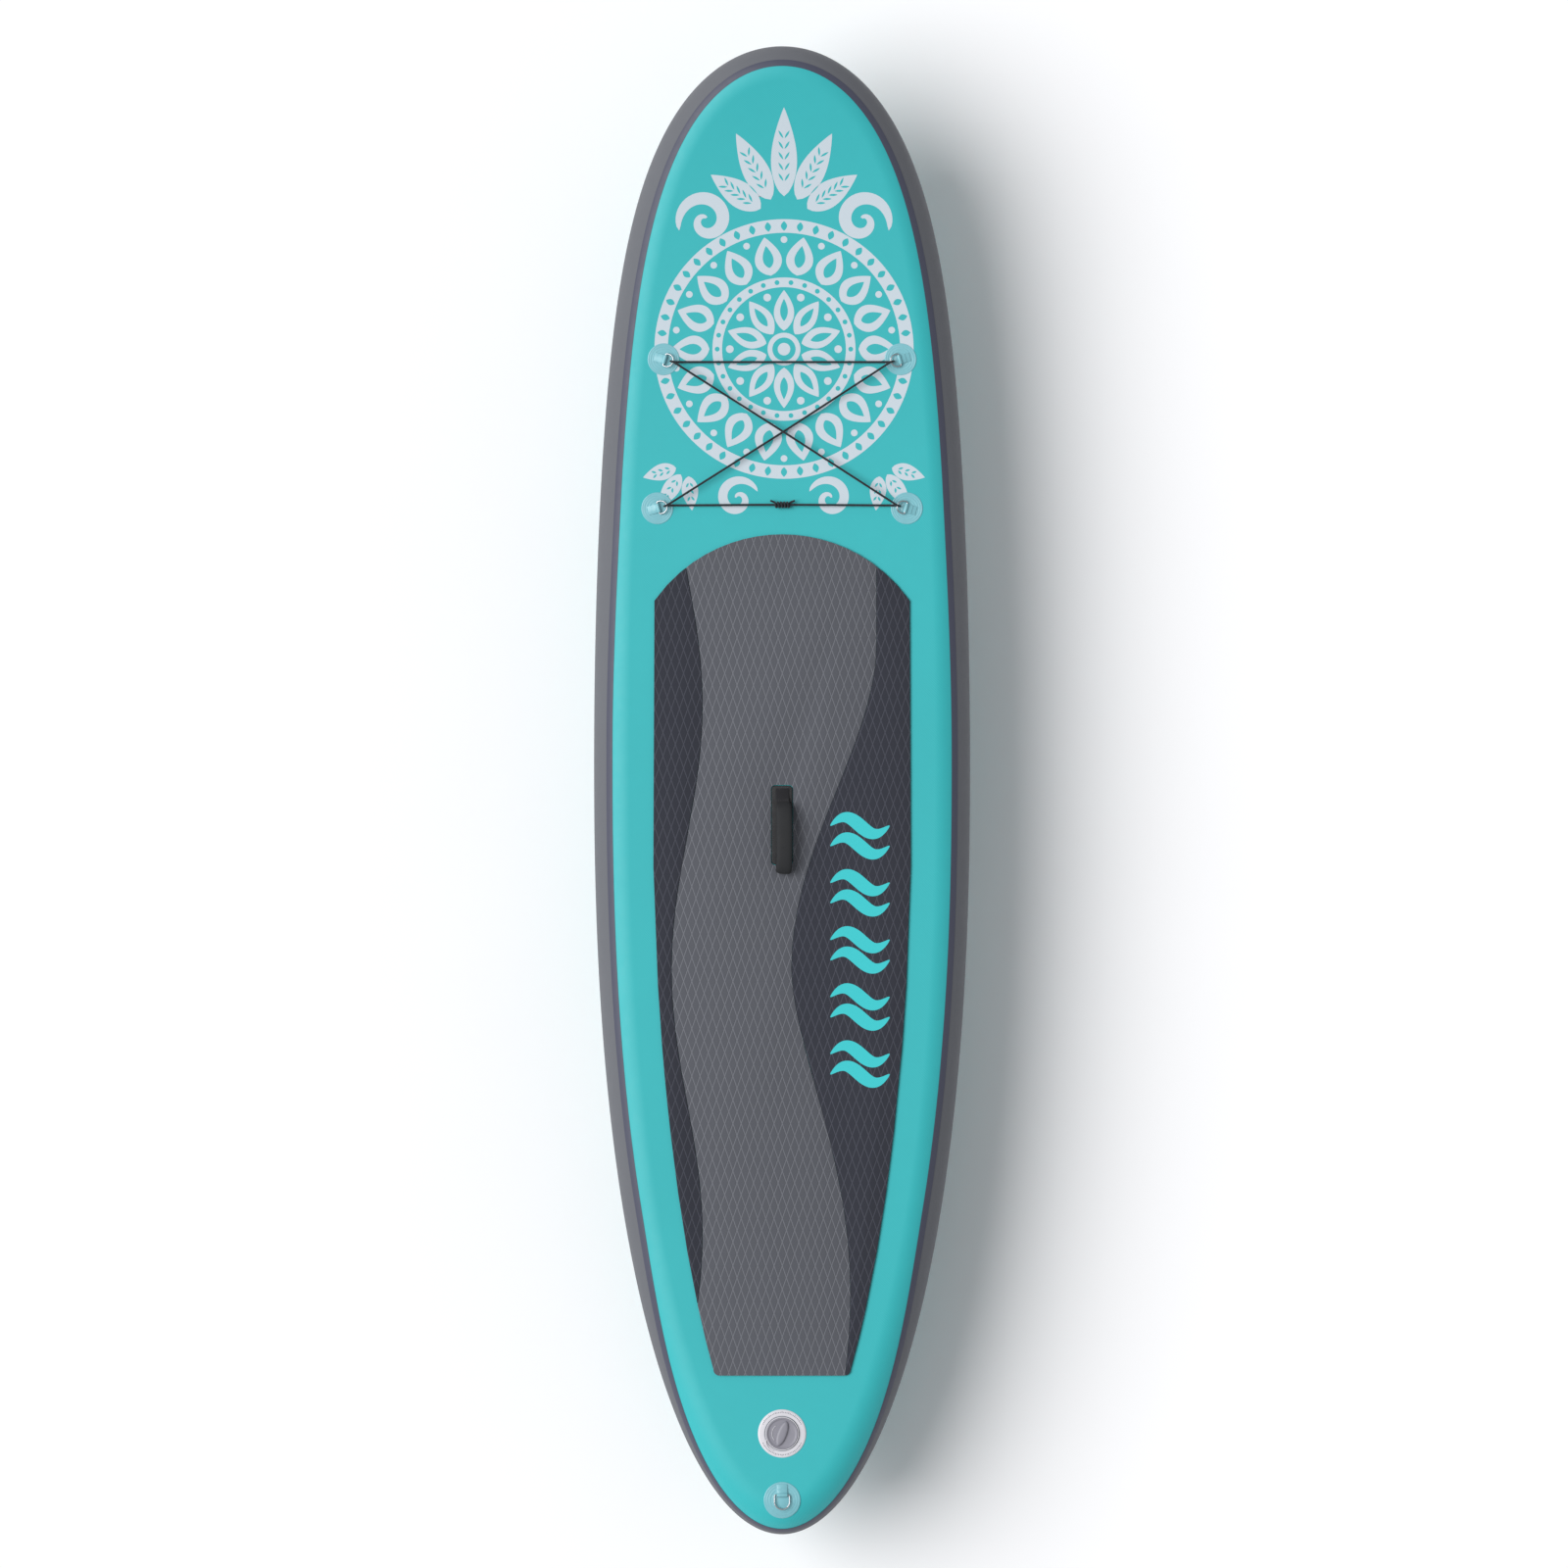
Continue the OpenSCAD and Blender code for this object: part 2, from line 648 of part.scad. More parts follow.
module leash_patch() {
    n = 32;
    rows = 5;
    top = [for (j = [1 : rows]) for (i = [0 : n - 1])
        let(r = tail_patch_r * j / rows, x = r * cos(360 * i / n), y = tail_patch_y + r * sin(360 * i / n))
        [x, y, tail_skin(x, y)]];
    mid = tail_skin(0, tail_patch_y);
    pts = concat([for (p = top) p + [0, 0, patch_t + 0.35]], [for (p = top) p + [0, 0, 0.35]],
        [[0, tail_patch_y, mid + patch_t + 0.35], [0, tail_patch_y, mid + 0.35]]);
    low = rows * n;
    face = [for (i = [0 : n - 1]) let(k = (i + 1) % n) each concat(
        [[2 * low, k, i]],
        [for (j = [0 : rows - 2]) each [[j * n + i, j * n + k, (j + 1) * n + k],
            [j * n + i, (j + 1) * n + k, (j + 1) * n + i]]],
        [[(rows - 1) * n + i, (rows - 1) * n + k, low + (rows - 1) * n + k],
            [(rows - 1) * n + i, low + (rows - 1) * n + k, low + (rows - 1) * n + i]],
        [for (j = [0 : rows - 2]) each [[low + j * n + i, low + (j + 1) * n + k, low + j * n + k],
            [low + j * n + i, low + (j + 1) * n + i, low + (j + 1) * n + k]]],
        [[2 * low + 1, low + i, low + k]])];
    color(c_film)
        polyhedron(pts, face);
}

module on_tail() {
    translate([0, tail_patch_y + 13, deck_z + 0.45]) rotate([0, 0, -90]) children();
}

module leash_tab() {
    color(c_film)
        on_tail() tab(22, 22);
}

module leash_ring() {
    color(c_steel)
        on_tail() translate([bar_u, 0, bar_h]) d_ring(15.5, 14, wire_r);
}

// ---- fins, boxes and locks ----

boxes = [[0, fin_centre_y, 0], [-fin_side_x, fin_side_y, -toe], [fin_side_x, fin_side_y, toe]];

module at_box(i) {
    translate([boxes[i][0], boxes[i][1], 0]) rotate([0, 0, boxes[i][2]]) children();
}

module fin_patch(i) {
    color(c_film)
        at_box(i) plate(i == 0 ? 152 : 116, i == 0 ? 290 : 257, i == 0 ? 55 : 46, -1.05, -0.05);
}

module fin_box(i) {
    stop = box_l / 2 - 22;
    color(c_black)
        at_box(i)
            difference() {
                union() {
                    plate(box_w, box_l, 12, -4.2, -1.1);
                    plate(box_w - 10, box_l - 10, 9, -8, -4.2);
                    plate(box_w - 20, box_l - 18, 7, -box_h, -8);
                }
                block([-slot_w / 2, -box_l, slot_low], [slot_w / 2, stop, slot_top]);
                block([-neck_w / 2, -box_l, -box_h - 1], [neck_w / 2, stop, slot_low + 1]);
                block([-box_w, -box_l, slot_low + 0.4], [0, -box_l / 2 + 40, slot_top - 0.4]);
            }
}

// outline of a fin in depth and distance back from the front of its root
function fin_front(d, back, t) = t < 0.8
    ? bezier([0, 0], [0.4 * d, 0.19 * back], [0.93 * d, 0.48 * back], [d, back], t / 0.8)
    : bezier([d, back], [d, back + 8], [0.99 * d, back + 16], [0.97 * d, back + 22], (t - 0.8) / 0.2);
function fin_rear(d, back, c, t) = t < 0.15
    ? bezier([0, c + 16], [2, c + 8], [5, c + 3], [0.1 * d, c], t / 0.15)
    : t < 0.8
    ? bezier([0.1 * d, c], [0.5 * d, c - 1], [0.72 * d, back + 2], [0.87 * d, back + 28], (t - 0.15) / 0.65)
    : bezier([0.87 * d, back + 28], [0.9 * d, back + 33], [0.95 * d, back + 28],
        [0.97 * d, back + 22.5], (t - 0.8) / 0.2);

module blade(d, back, chord, lead) {
    rows = 24;
    cols = 8;
    m = 2 * cols;
    pts = [for (i = [0 : rows])
        let(t = i / rows, a = fin_front(d, back, t), b = fin_rear(d, back, chord, t))
        for (j = [0 : m - 1]) let(c = j <= cols ? j / cols : (m - j) / cols, p = a + (b - a) * c,
            h = (4.2 - 2 * t) * pow(max(0, 1 - pow(t, 6)), 0.5) * sin(180 * pow(c, 0.75)) + 0.35)
        [(j <= cols ? 1 : -1) * h * (c == 0 || c == 1 ? 0 : 1), lead - p[1], -p[0]]];
    sides = [for (i = [0 : rows - 1]) for (j = [0 : m - 1])
        let(a = i * m + j, b = i * m + (j + 1) % m)
        each [[a, a + m, b + m], [a, b + m, b]]];
    ends = [for (j = [0 : cols - 1])
        let(a = j, b = j + 1, c = (m - j - 1) % m, e = (m - j) % m, o = rows * m)
        each (j == 0 ? [[a, b, c], [o + c, o + b, o + a]]
            : j == cols - 1 ? [[a, b, e], [o + e, o + b, o + a]]
            : [[a, b, c], [a, c, e], [o + c, o + b, o + a], [o + e, o + c, o + a]])];
    polyhedron(pts, concat(sides, ends));
}

module fin(i) {
    stop = box_l / 2 - 22;
    rear = -box_l / 2 + 42;
    d = i == 0 ? centre_fin_d : side_fin_d;
    color(c_black)
        at_box(i) {
            translate([0, 0, -box_h - clear]) blade(d, i == 0 ? 163 : 142, i == 0 ? 134 : 120, stop - 2);
            block([-slot_w / 2 + clear, rear, slot_low + clear],
                [slot_w / 2 - clear, stop - clear, slot_top - clear]);
            block([-3.9, rear, -box_h - 1.2], [3.9, stop - 8, slot_low + 1]);
        }
}

module fin_lock(i) {
    back = -box_l / 2;
    color(c_black)
        at_box(i)
            difference() {
                union() {
                    block([-slot_w / 2 + clear, back + 8, slot_low + clear],
                        [slot_w / 2 - clear, back + 40, slot_top - clear]);
                    block([-3.9, back + 12, -box_h + 0.5], [3.9, back + 38, slot_low + 1]);
                    block([-box_w / 2 - 3, back + 20, slot_low + 0.7],
                        [-slot_w / 2 + 1, back + 32, slot_top - 0.7]);
                }
                translate([-box_w / 2 - 1.5, back + 26, (slot_low + slot_top) / 2])
                    rotate([90, 0, 0]) cylinder(r = 1.05, h = 20, center = true);
            }
}

module pull_loop(i) {
    reach = 4;
    half = 7.5;
    color(c_black)
        at_box(i)
            translate([-box_w / 2 - 1.5 - reach, -box_l / 2 + 26, (slot_low + slot_top) / 2]) {
                for (s = [-1, 1]) {
                    translate([s * reach, 0, 0]) rotate([90, 0, 0])
                        cylinder(r = 0.8, h = 2 * half, center = true, $fn = 16);
                    translate([0, s * half, 0])
                        rotate([0, 0, s > 0 ? 0 : 180])
                            rotate_extrude(angle = 180, $fn = 32)
                                translate([reach, 0]) circle(r = 0.8, $fn = 16);
                }
            }
}

module bottom_label() {
    color(c_white)
        translate([0, fin_side_y + 2, 0]) plate(120, 165, 5, -0.4, -0.05);
}

// ---- nodes ----

deck_panel();
bottom_panel();
rail(-1);  // rail_port
rail(1);  // rail_starboard
seam_tape(true);  // seam_tape_deck
seam_tape(false);  // seam_tape_bottom
drop_stitch_yarns();
deck_pad_wave();
deck_pad_port();
deck_pad_starboard();
handle_patch();
handle_strap();
handle_grip();
valve_flange();
valve_body();
valve_backing_ring();
valve_spring();
valve_stem();
valve_stem_seal();
valve_cap();
valve_cap_gasket();
valve_cap_collar();
valve_tether();
ring_patch(rings[0]);  // ring_patch_port_front
ring_patch(rings[1]);  // ring_patch_port_rear
ring_patch(rings[2]);  // ring_patch_starboard_front
ring_patch(rings[3]);  // ring_patch_starboard_rear
ring_tab(rings[0]);  // ring_tab_port_front
ring_tab(rings[1]);  // ring_tab_port_rear
ring_tab(rings[2]);  // ring_tab_starboard_front
ring_tab(rings[3]);  // ring_tab_starboard_rear
nose_ring(rings[0]);  // ring_port_front
nose_ring(rings[1]);  // ring_port_rear
nose_ring(rings[2]);  // ring_starboard_front
nose_ring(rings[3]);  // ring_starboard_rear
bungee_cord();
bungee_knot();
leash_patch();
leash_tab();
leash_ring();
fin_patch(0);  // fin_patch_centre
fin_patch(1);  // fin_patch_port
fin_patch(2);  // fin_patch_starboard
fin_box(0);  // fin_box_centre
fin_box(1);  // fin_box_port
fin_box(2);  // fin_box_starboard
fin(0);  // fin_centre
fin(1);  // fin_port
fin(2);  // fin_starboard
fin_lock(0);  // fin_lock_centre
fin_lock(1);  // fin_lock_port
fin_lock(2);  // fin_lock_starboard
pull_loop(0);  // pull_loop_centre
pull_loop(1);  // pull_loop_port
pull_loop(2);  // pull_loop_starboard
bottom_label();
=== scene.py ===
import json
import math

import bmesh
import bpy
from mathutils import Matrix, Vector


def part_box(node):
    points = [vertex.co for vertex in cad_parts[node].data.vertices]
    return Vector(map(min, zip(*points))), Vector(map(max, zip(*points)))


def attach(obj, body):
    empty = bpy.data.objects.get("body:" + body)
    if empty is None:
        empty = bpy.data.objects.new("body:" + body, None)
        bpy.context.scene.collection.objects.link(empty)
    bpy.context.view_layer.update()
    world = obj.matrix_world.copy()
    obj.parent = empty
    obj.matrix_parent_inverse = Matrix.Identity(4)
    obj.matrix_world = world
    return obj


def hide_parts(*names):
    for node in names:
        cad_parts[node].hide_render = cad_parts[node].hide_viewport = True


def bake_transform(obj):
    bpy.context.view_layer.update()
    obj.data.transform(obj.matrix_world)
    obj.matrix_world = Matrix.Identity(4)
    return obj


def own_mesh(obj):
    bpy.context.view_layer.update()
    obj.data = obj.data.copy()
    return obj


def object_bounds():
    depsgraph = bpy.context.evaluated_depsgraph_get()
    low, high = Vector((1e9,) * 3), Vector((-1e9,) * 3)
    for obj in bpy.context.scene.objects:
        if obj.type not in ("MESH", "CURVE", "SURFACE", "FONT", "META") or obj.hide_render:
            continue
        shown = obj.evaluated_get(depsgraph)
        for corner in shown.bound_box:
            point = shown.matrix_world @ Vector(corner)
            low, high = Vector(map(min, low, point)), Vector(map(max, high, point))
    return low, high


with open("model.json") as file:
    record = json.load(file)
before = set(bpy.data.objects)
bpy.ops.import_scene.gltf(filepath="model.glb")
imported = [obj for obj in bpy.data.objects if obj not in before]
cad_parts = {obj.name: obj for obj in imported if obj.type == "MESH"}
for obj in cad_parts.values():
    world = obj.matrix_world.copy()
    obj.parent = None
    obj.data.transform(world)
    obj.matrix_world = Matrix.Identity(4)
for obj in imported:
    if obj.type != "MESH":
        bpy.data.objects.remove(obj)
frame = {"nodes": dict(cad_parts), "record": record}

CAD_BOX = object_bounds()
BODY_OF = {n: b for b, members in frame["record"]["behaviour"]["bodies"].items() for n in members}
MM = 0.001
X_AXIS, Y_AXIS, Z_AXIS = Vector((1, 0, 0)), Vector((0, 1, 0)), Vector((0, 0, 1))


# ---- sizes, taken from the frame ----

rail_low, rail_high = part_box("rail_port")
HALF_LEN = rail_high.y
HALF_W = -rail_low.x
FOAM_GAP = 0.05 * MM
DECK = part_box("deck_pad_wave")[0].z - FOAM_GAP
PAD_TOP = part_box("deck_pad_wave")[1].z
EDGE_R = DECK / 2
WIDE_AT = 60 * MM
ROCKER_FROM = 590 * MM
NOSE_LIFT = 95 * MM
# roundness of the nose's outline: 0 is an ellipse, more is blunter
NOSE_BLUNT = 0.53
# rail angle of the seams, and how much the deck's is higher at the nose and lower at the tail, in degrees
SEAM_ANGLE = 60
SEAM_NOSE = 4
SEAM_TAIL = 26
CLOTH = 1.6 * MM
BARREL_R = 30 * MM
LEN_NOSE = HALF_LEN - WIDE_AT
LEN_TAIL = HALF_LEN + WIDE_AT
STATIONS = 260


def centre(node):
    low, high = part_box(node)
    return (low + high) / 2


def rise(y):
    """How far the rocker lifts the board at a distance along it."""
    return NOSE_LIFT * ((y - ROCKER_FROM) / (HALF_LEN - ROCKER_FROM)) ** 3.5 if y > ROCKER_FROM else 0.0


def rise_slope(y):
    return (rise(y + MM) - rise(y - MM)) / (2 * MM)


def plan(t):
    """Outline point, t from 0 at the nose tip to 1 at the tail tip."""
    if t <= 0.5:
        a = math.pi / 2 * (1 - 2 * t)
        s = math.sin(a)
        x = HALF_W * math.cos(a) * math.sqrt(1 + NOSE_BLUNT * (s ** 2 + s ** 4)) if t > 0 else 0.0
        return x, WIDE_AT + LEN_NOSE * s
    a = math.pi / 2 * (2 * t - 1)
    x = HALF_W * math.cos(a) if t < 1 else 0.0
    return x, WIDE_AT - LEN_TAIL * math.sin(a) ** (2 / 2.3)


def outward(x, y):
    """Outward direction at an outline point."""
    if y >= WIDE_AT:
        u = (y - WIDE_AT) / LEN_NOSE
        n = Vector((2 * x / HALF_W ** 2, (2 * (1 - NOSE_BLUNT) * u + 6 * NOSE_BLUNT * u ** 5) / LEN_NOSE))
    else:
        n = Vector((2 * x / HALF_W ** 2, -2.3 * ((WIDE_AT - y) / LEN_TAIL) ** 1.3 / LEN_TAIL))
    return n.normalized()


def skin(t, side, angle, depth):
    """Point of the hull's skin at outline station t and rail angle, depth under the surface."""
    x, y = plan(t)
    n = outward(x, y)
    a = math.radians(angle)
    inset = EDGE_R - (EDGE_R - depth) * math.cos(a)
    qx, qy = x - n.x * inset, y - n.y * inset
    return Vector((side * qx, qy, EDGE_R + (EDGE_R - depth) * math.sin(a) + rise(qy)))


def ease(x):
    """Smooth step from 0 to 1."""
    u = min(1.0, max(0.0, x))
    return u * u * (3 - 2 * u)


def deck_seam(t):
    """Rail angle of the deck seam: higher up at the front, lower down at the tail."""
    y = plan(t)[1] / MM
    return SEAM_ANGLE + SEAM_NOSE * ease((y - 100) / 500) - SEAM_TAIL * ease((-860 - y) / 690)


def bottom_seam(t):
    return SEAM_ANGLE


def loop_t(k):
    return k / STATIONS if k <= STATIONS else 2 - k / STATIONS


def skin_loop(sign, seam, share, depth):
    """Loop a share of the way from the flat to the seam, on the deck or the bottom."""
    out = []
    for k in range(2 * STATIONS):
        t = loop_t(k)
        out.append(skin(t, 1 if k <= STATIONS else -1, sign * (90 - (90 - seam(t)) * share), depth))
    return out


# ---- mesh helpers ----

def make(name, shape, material, body="board", stands_for=(), sharp=35):
    """A mesh piece from its points and faces, with outward normals, riding on a body."""
    verts, faces = shape
    mesh = bpy.data.meshes.new(name)
    mesh.from_pydata([tuple(v) for v in verts], [], faces)
    bm = bmesh.new()
    bm.from_mesh(mesh)
    bmesh.ops.remove_doubles(bm, verts=bm.verts, dist=1e-7)
    bmesh.ops.recalc_face_normals(bm, faces=bm.faces)
    bm.to_mesh(mesh)
    bm.free()
    return finish_piece(name, mesh, material, body, stands_for, sharp)


def finish_piece(name, mesh, material, body, stands_for=(), sharp=35):
    """Links a mesh as a piece, and gives it its shading, material and body."""
    for p in mesh.polygons:
        p.use_smooth = True
    mesh.set_sharp_from_angle(angle=math.radians(sharp))
    mesh.materials.clear()
    mesh.materials.append(material)
    obj = bpy.data.objects.new(name, mesh)
    bpy.context.scene.collection.objects.link(obj)
    if body:
        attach(obj, body)
    if stands_for:
        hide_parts(*stands_for)
    return obj


def bake(obj, sharp):
    """Applies the modifiers of a piece."""
    bpy.context.view_layer.update()
    graph = bpy.context.evaluated_depsgraph_get()
    mesh = bpy.data.meshes.new_from_object(obj.evaluated_get(graph))
    obj.modifiers.clear()
    obj.data = mesh
    for p in mesh.polygons:
        p.use_smooth = True
    mesh.set_sharp_from_angle(angle=math.radians(sharp))
    return obj


def rows_of(loops, wrap=False):
    """Rows of points with faces between them, and from the last to the first if they wrap."""
    n = len(loops[0])
    verts = [p for row in loops for p in row]
    faces = []
    for j in range(len(loops) if wrap else len(loops) - 1):
        a, b = j * n, ((j + 1) % len(loops)) * n
        for k in range(n):
            m = (k + 1) % n
            faces.append((a + k, a + m, b + m, b + k))
    return verts, faces


def capped(rows):
    """Rows of points with faces between them and across both ends."""
    verts, faces = rows_of(rows)
    n = len(rows[0])
    for base in (0, (len(rows) - 1) * n):
        faces.append(tuple(base + k for k in range(n)))
    return verts, faces


def folded_cap(half, base):
    """Faces that close a loop of twice half the points, numbered from base, across its width."""
    n = 2 * half
    faces = []
    for i in range(half):
        a, b, c, d = i, i + 1, (n - i - 1) % n, (n - i) % n
        face = (a, b, c) if i == 0 else (a, b, d) if i == half - 1 else (a, b, c, d)
        faces.append(tuple(base + k for k in face))
    return faces


def swept(path, section, ref, closed=False):
    """A section swept along a path, its first axis across along ref."""
    n = len(path)
    rings = []
    for i, p in enumerate(path):
        a = path[(i - 1) % n] if closed or i else path[0]
        b = path[(i + 1) % n] if closed or i < n - 1 else path[-1]
        t = (b - a).normalized()
        u = (ref - t * ref.dot(t)).normalized()
        v = t.cross(u)
        local = section(i / (n - 1)) if callable(section) else section
        rings.append([p + u * s[0] + v * s[1] for s in local])
    return rows_of(rings, wrap=True) if closed else capped(rings)


def circle_steps(n):
    """Cosine and sine of n even steps round a circle."""
    return [(math.cos(2 * math.pi * i / n), math.sin(2 * math.pi * i / n)) for i in range(n)]


def round_section(r, n=12):
    return [(r * c, r * s) for c, s in circle_steps(n)]


def oval_section(a, b, n=28, power=0.75):
    return [(a * math.copysign(abs(c) ** power, c), b * math.copysign(abs(s) ** power, s))
            for c, s in circle_steps(n)]


def smooth_path(points, k):
    """Smooth curve through points, k steps between each two."""
    out = []
    for i in range(len(points) - 1):
        a = points[max(0, i - 1)]
        b, c = points[i], points[i + 1]
        d = points[min(len(points) - 1, i + 2)]
        for j in range(k):
            t = j / k
            out.append(0.5 * (2 * b + (c - a) * t + (2 * a - 5 * b + 4 * c - d) * t * t
                              + (3 * b - a - 3 * c + d) * t ** 3))
    out.append(points[-1])
    return out


def bezier(a, b, c, d, t):
    return a * (1 - t) ** 3 + b * 3 * t * (1 - t) ** 2 + c * 3 * t * t * (1 - t) + d * t ** 3


def round_rect(w, l, r, steps=10):
    """Outline of a rectangle with round corners, anticlockwise from the right side."""
    out = []
    for cx, cy, start in ((1, 1, 0), (-1, 1, 90), (-1, -1, 180), (1, -1, 270)):
        for i in range(steps + 1):
            a = math.radians(start + 90 * i / steps)
            out.append(Vector((cx * (w / 2 - r) + r * math.cos(a), cy * (l / 2 - r) + r * math.sin(a), 0)))
    return out


def revolve(profile, at, steps=96):
    """Faces of a closed profile of (radius, height) in mm turned about a vertical axis."""
    rings = [[at + Vector((r * c, r * s, z)) * MM for r, z in profile] for c, s in circle_steps(steps)]
    return rows_of(rings, wrap=True)


def joined(*parts):
    verts, faces = [], []
    for v, f in parts:
        base = len(verts)
        verts += list(v)
        faces += [tuple(base + k for k in face) for face in f]
    return verts, faces


def softened(node, material, width, segments=2, angle=30):
    """A copy of a CAD node with its edges rounded, standing for that node."""
    bm = bmesh.new()
    bm.from_mesh(frame["nodes"][node].data)
    bmesh.ops.remove_doubles(bm, verts=bm.verts, dist=2e-6)
    bmesh.ops.dissolve_limit(bm, angle_limit=math.radians(1.5), verts=bm.verts, edges=bm.edges)
    mesh = bpy.data.meshes.new(node + "_look")
    bm.to_mesh(mesh)
    bm.free()
    obj = finish_piece(node + "_look", mesh, material, BODY_OF[node], (node,))
    bevel = obj.modifiers.new("edge", "BEVEL")
    bevel.width = width
    bevel.segments = segments
    bevel.limit_method = "ANGLE"
    bevel.angle_limit = math.radians(angle)
    return bake(obj, 40)


# ---- materials ----

class Graph:
    """Short calls for building one material's nodes."""

    def __init__(self, name):
        self.material = bpy.data.materials.new(name)
        self.material.use_nodes = True
        self.tree = self.material.node_tree
        self.shader = self.tree.nodes["Principled BSDF"]
        self.coord = self.add("ShaderNodeTexCoord").outputs["Object"]

    def add(self, kind, values=None, **links):
        node = self.tree.nodes.new(kind)
        for key, value in (values or {}).items():
            node.inputs[key].default_value = value
        for key, socket in links.items():
            self.tree.links.new(socket, node.inputs[key])
        return node

    def feed(self, node, index, value):
        """Gives a node's input a number, a colour or a link."""
        if isinstance(value, tuple):
            value = (*value, 1)
        if isinstance(value, (int, float, tuple)):
            node.inputs[index].default_value = value
        else:
            self.tree.links.new(value, node.inputs[index])

    def math(self, op, a, b=None):
        node = self.tree.nodes.new("ShaderNodeMath")
        node.operation = op
        for i, value in enumerate((a, b)):
            if value is not None:
                self.feed(node, i, value)
        return node.outputs[0]

    def noise(self, scale, detail=2.0, rough=0.5, coord=None):
        node = self.add("ShaderNodeTexNoise", {"Scale": scale, "Detail": detail, "Roughness": rough})
        self.tree.links.new(coord or self.coord, node.inputs["Vector"])
        return node.outputs["Fac"]

    def band(self, value, low, high):
        """A smooth step from 0 at low to 1 at high."""
        node = self.tree.nodes.new("ShaderNodeMapRange")
        node.interpolation_type = "SMOOTHSTEP"
        node.inputs["From Min"].default_value = low
        node.inputs["From Max"].default_value = high
        self.tree.links.new(value, node.inputs["Value"])
        return node.outputs["Result"]

    def scale(self, value, low, high):
        """Maps 0..1 to low..high."""
        return self.math("ADD", self.math("MULTIPLY", value, high - low), low)

    def mix(self, factor, a, b):
        node = self.tree.nodes.new("ShaderNodeMix")
        node.data_type = "RGBA"
        for index, value in ((0, factor), (6, a), (7, b)):
            self.feed(node, index, value)
        return node.outputs[2]

    def axes(self):
        node = self.tree.nodes.new("ShaderNodeSeparateXYZ")
        self.tree.links.new(self.coord, node.inputs[0])
        return node.outputs

    def wave(self, value, pitch):
        """Sine of a length with the given pitch."""
        return self.math("SINE", self.math("MULTIPLY", value, 2 * math.pi / pitch))

    def bump(self, height, distance, strength=1.0, normal=None):
        node = self.add("ShaderNodeBump", {"Strength": strength, "Distance": distance}, Height=height)
        if normal is not None:
            self.tree.links.new(normal, node.inputs["Normal"])
        return node.outputs["Normal"]

    def colour(self, socket):
        self.link(socket, "Base Color")

    def rough(self, socket):
        self.link(socket, "Roughness")

    def normal(self, socket):
        self.link(socket, "Normal")

    def link(self, socket, name):
        self.tree.links.new(socket, self.shader.inputs[name])

    def fixed(self, **values):
        for name, value in values.items():
            self.shader.inputs[name.replace("_", " ")].default_value = value


def shade(colour, factor):
    return tuple(min(1.0, c * factor) for c in colour)


def coated_cloth(name, colour, pitch=5 * MM, depth=0.12 * MM, dimple=False, rough=(0.42, 0.6), gloss=0.4):
    """PVC-coated cloth: the weave shows through the coating, with faint blotches; on dimpled cloth painted
    shade darkens the dimples.
    """
    g = Graph(name)
    x, y, z = g.axes()
    across = g.math("ADD", x, g.math("MULTIPLY", z, 0.7))
    weave = g.math("MULTIPLY", g.wave(across, pitch), g.wave(y, pitch))
    if dimple:
        weave = g.band(weave, 0.15, 0.9)
    blotch = g.noise(2.2, 3)
    cloud = g.noise(35, 3, 0.6)
    tone = g.mix(blotch, shade(colour, 0.93), shade(colour, 1.05))
    tone = g.mix(g.scale(cloud, 0.0, 0.22), tone, shade(colour, 0.8))
    # darker on the raised weave as the weave's own tone; on dimpled cloth it darkens the pressed-in dimples
    # as painted shade
    weave_tone_and_dimple_shade = g.band(weave, 0.2, 1.0)
    tone = g.mix(g.math("MULTIPLY", weave_tone_and_dimple_shade, 0.22 if dimple else 0.14), tone, shade(colour, 0.72))
    g.colour(tone)
    g.rough(g.scale(g.noise(60, 4), *rough))
    fine = g.bump(g.noise(1400, 2), 0.05 * MM, 0.35)
    g.normal(g.bump(weave, -3 * depth if dimple else depth, 0.7, fine))
    g.fixed(Specular_IOR_Level=gloss)
    return g.material


def foam(name, colour, line):
    """Closed-cell foam with a diamond pattern pressed into it."""
    g = Graph(name)
    x, y, z = g.axes()
    u = g.math("DIVIDE", x, 17 * MM)
    v = g.math("DIVIDE", y, 49 * MM)

    def ridge(value):
        centred = g.math("ABSOLUTE", g.math("SUBTRACT", g.math("FRACT", value), 0.5))
        return g.band(centred, 0.405, 0.47)

    lines = g.math("MAXIMUM", ridge(g.math("ADD", u, v)), ridge(g.math("SUBTRACT", u, v)))
    grain = g.noise(900, 3, 0.7)
    worn = g.noise(9, 4, 0.6)
    tone = g.mix(grain, shade(colour, 0.8), shade(colour, 1.2))
    tone = g.mix(g.scale(worn, 0.0, 0.3), tone, shade(colour, 1.25))
    g.colour(g.mix(lines, tone, g.mix(grain, shade(line, 0.85), shade(line, 1.12))))
    g.rough(g.scale(grain, 0.78, 0.95))
    soft = g.bump(grain, 0.25 * MM, 0.5)
    g.normal(g.bump(lines, -0.7 * MM, 0.9, soft))
    g.fixed(Specular_IOR_Level=0.25, Sheen_Weight=0.15, Sheen_Roughness=0.6)
    return g.material


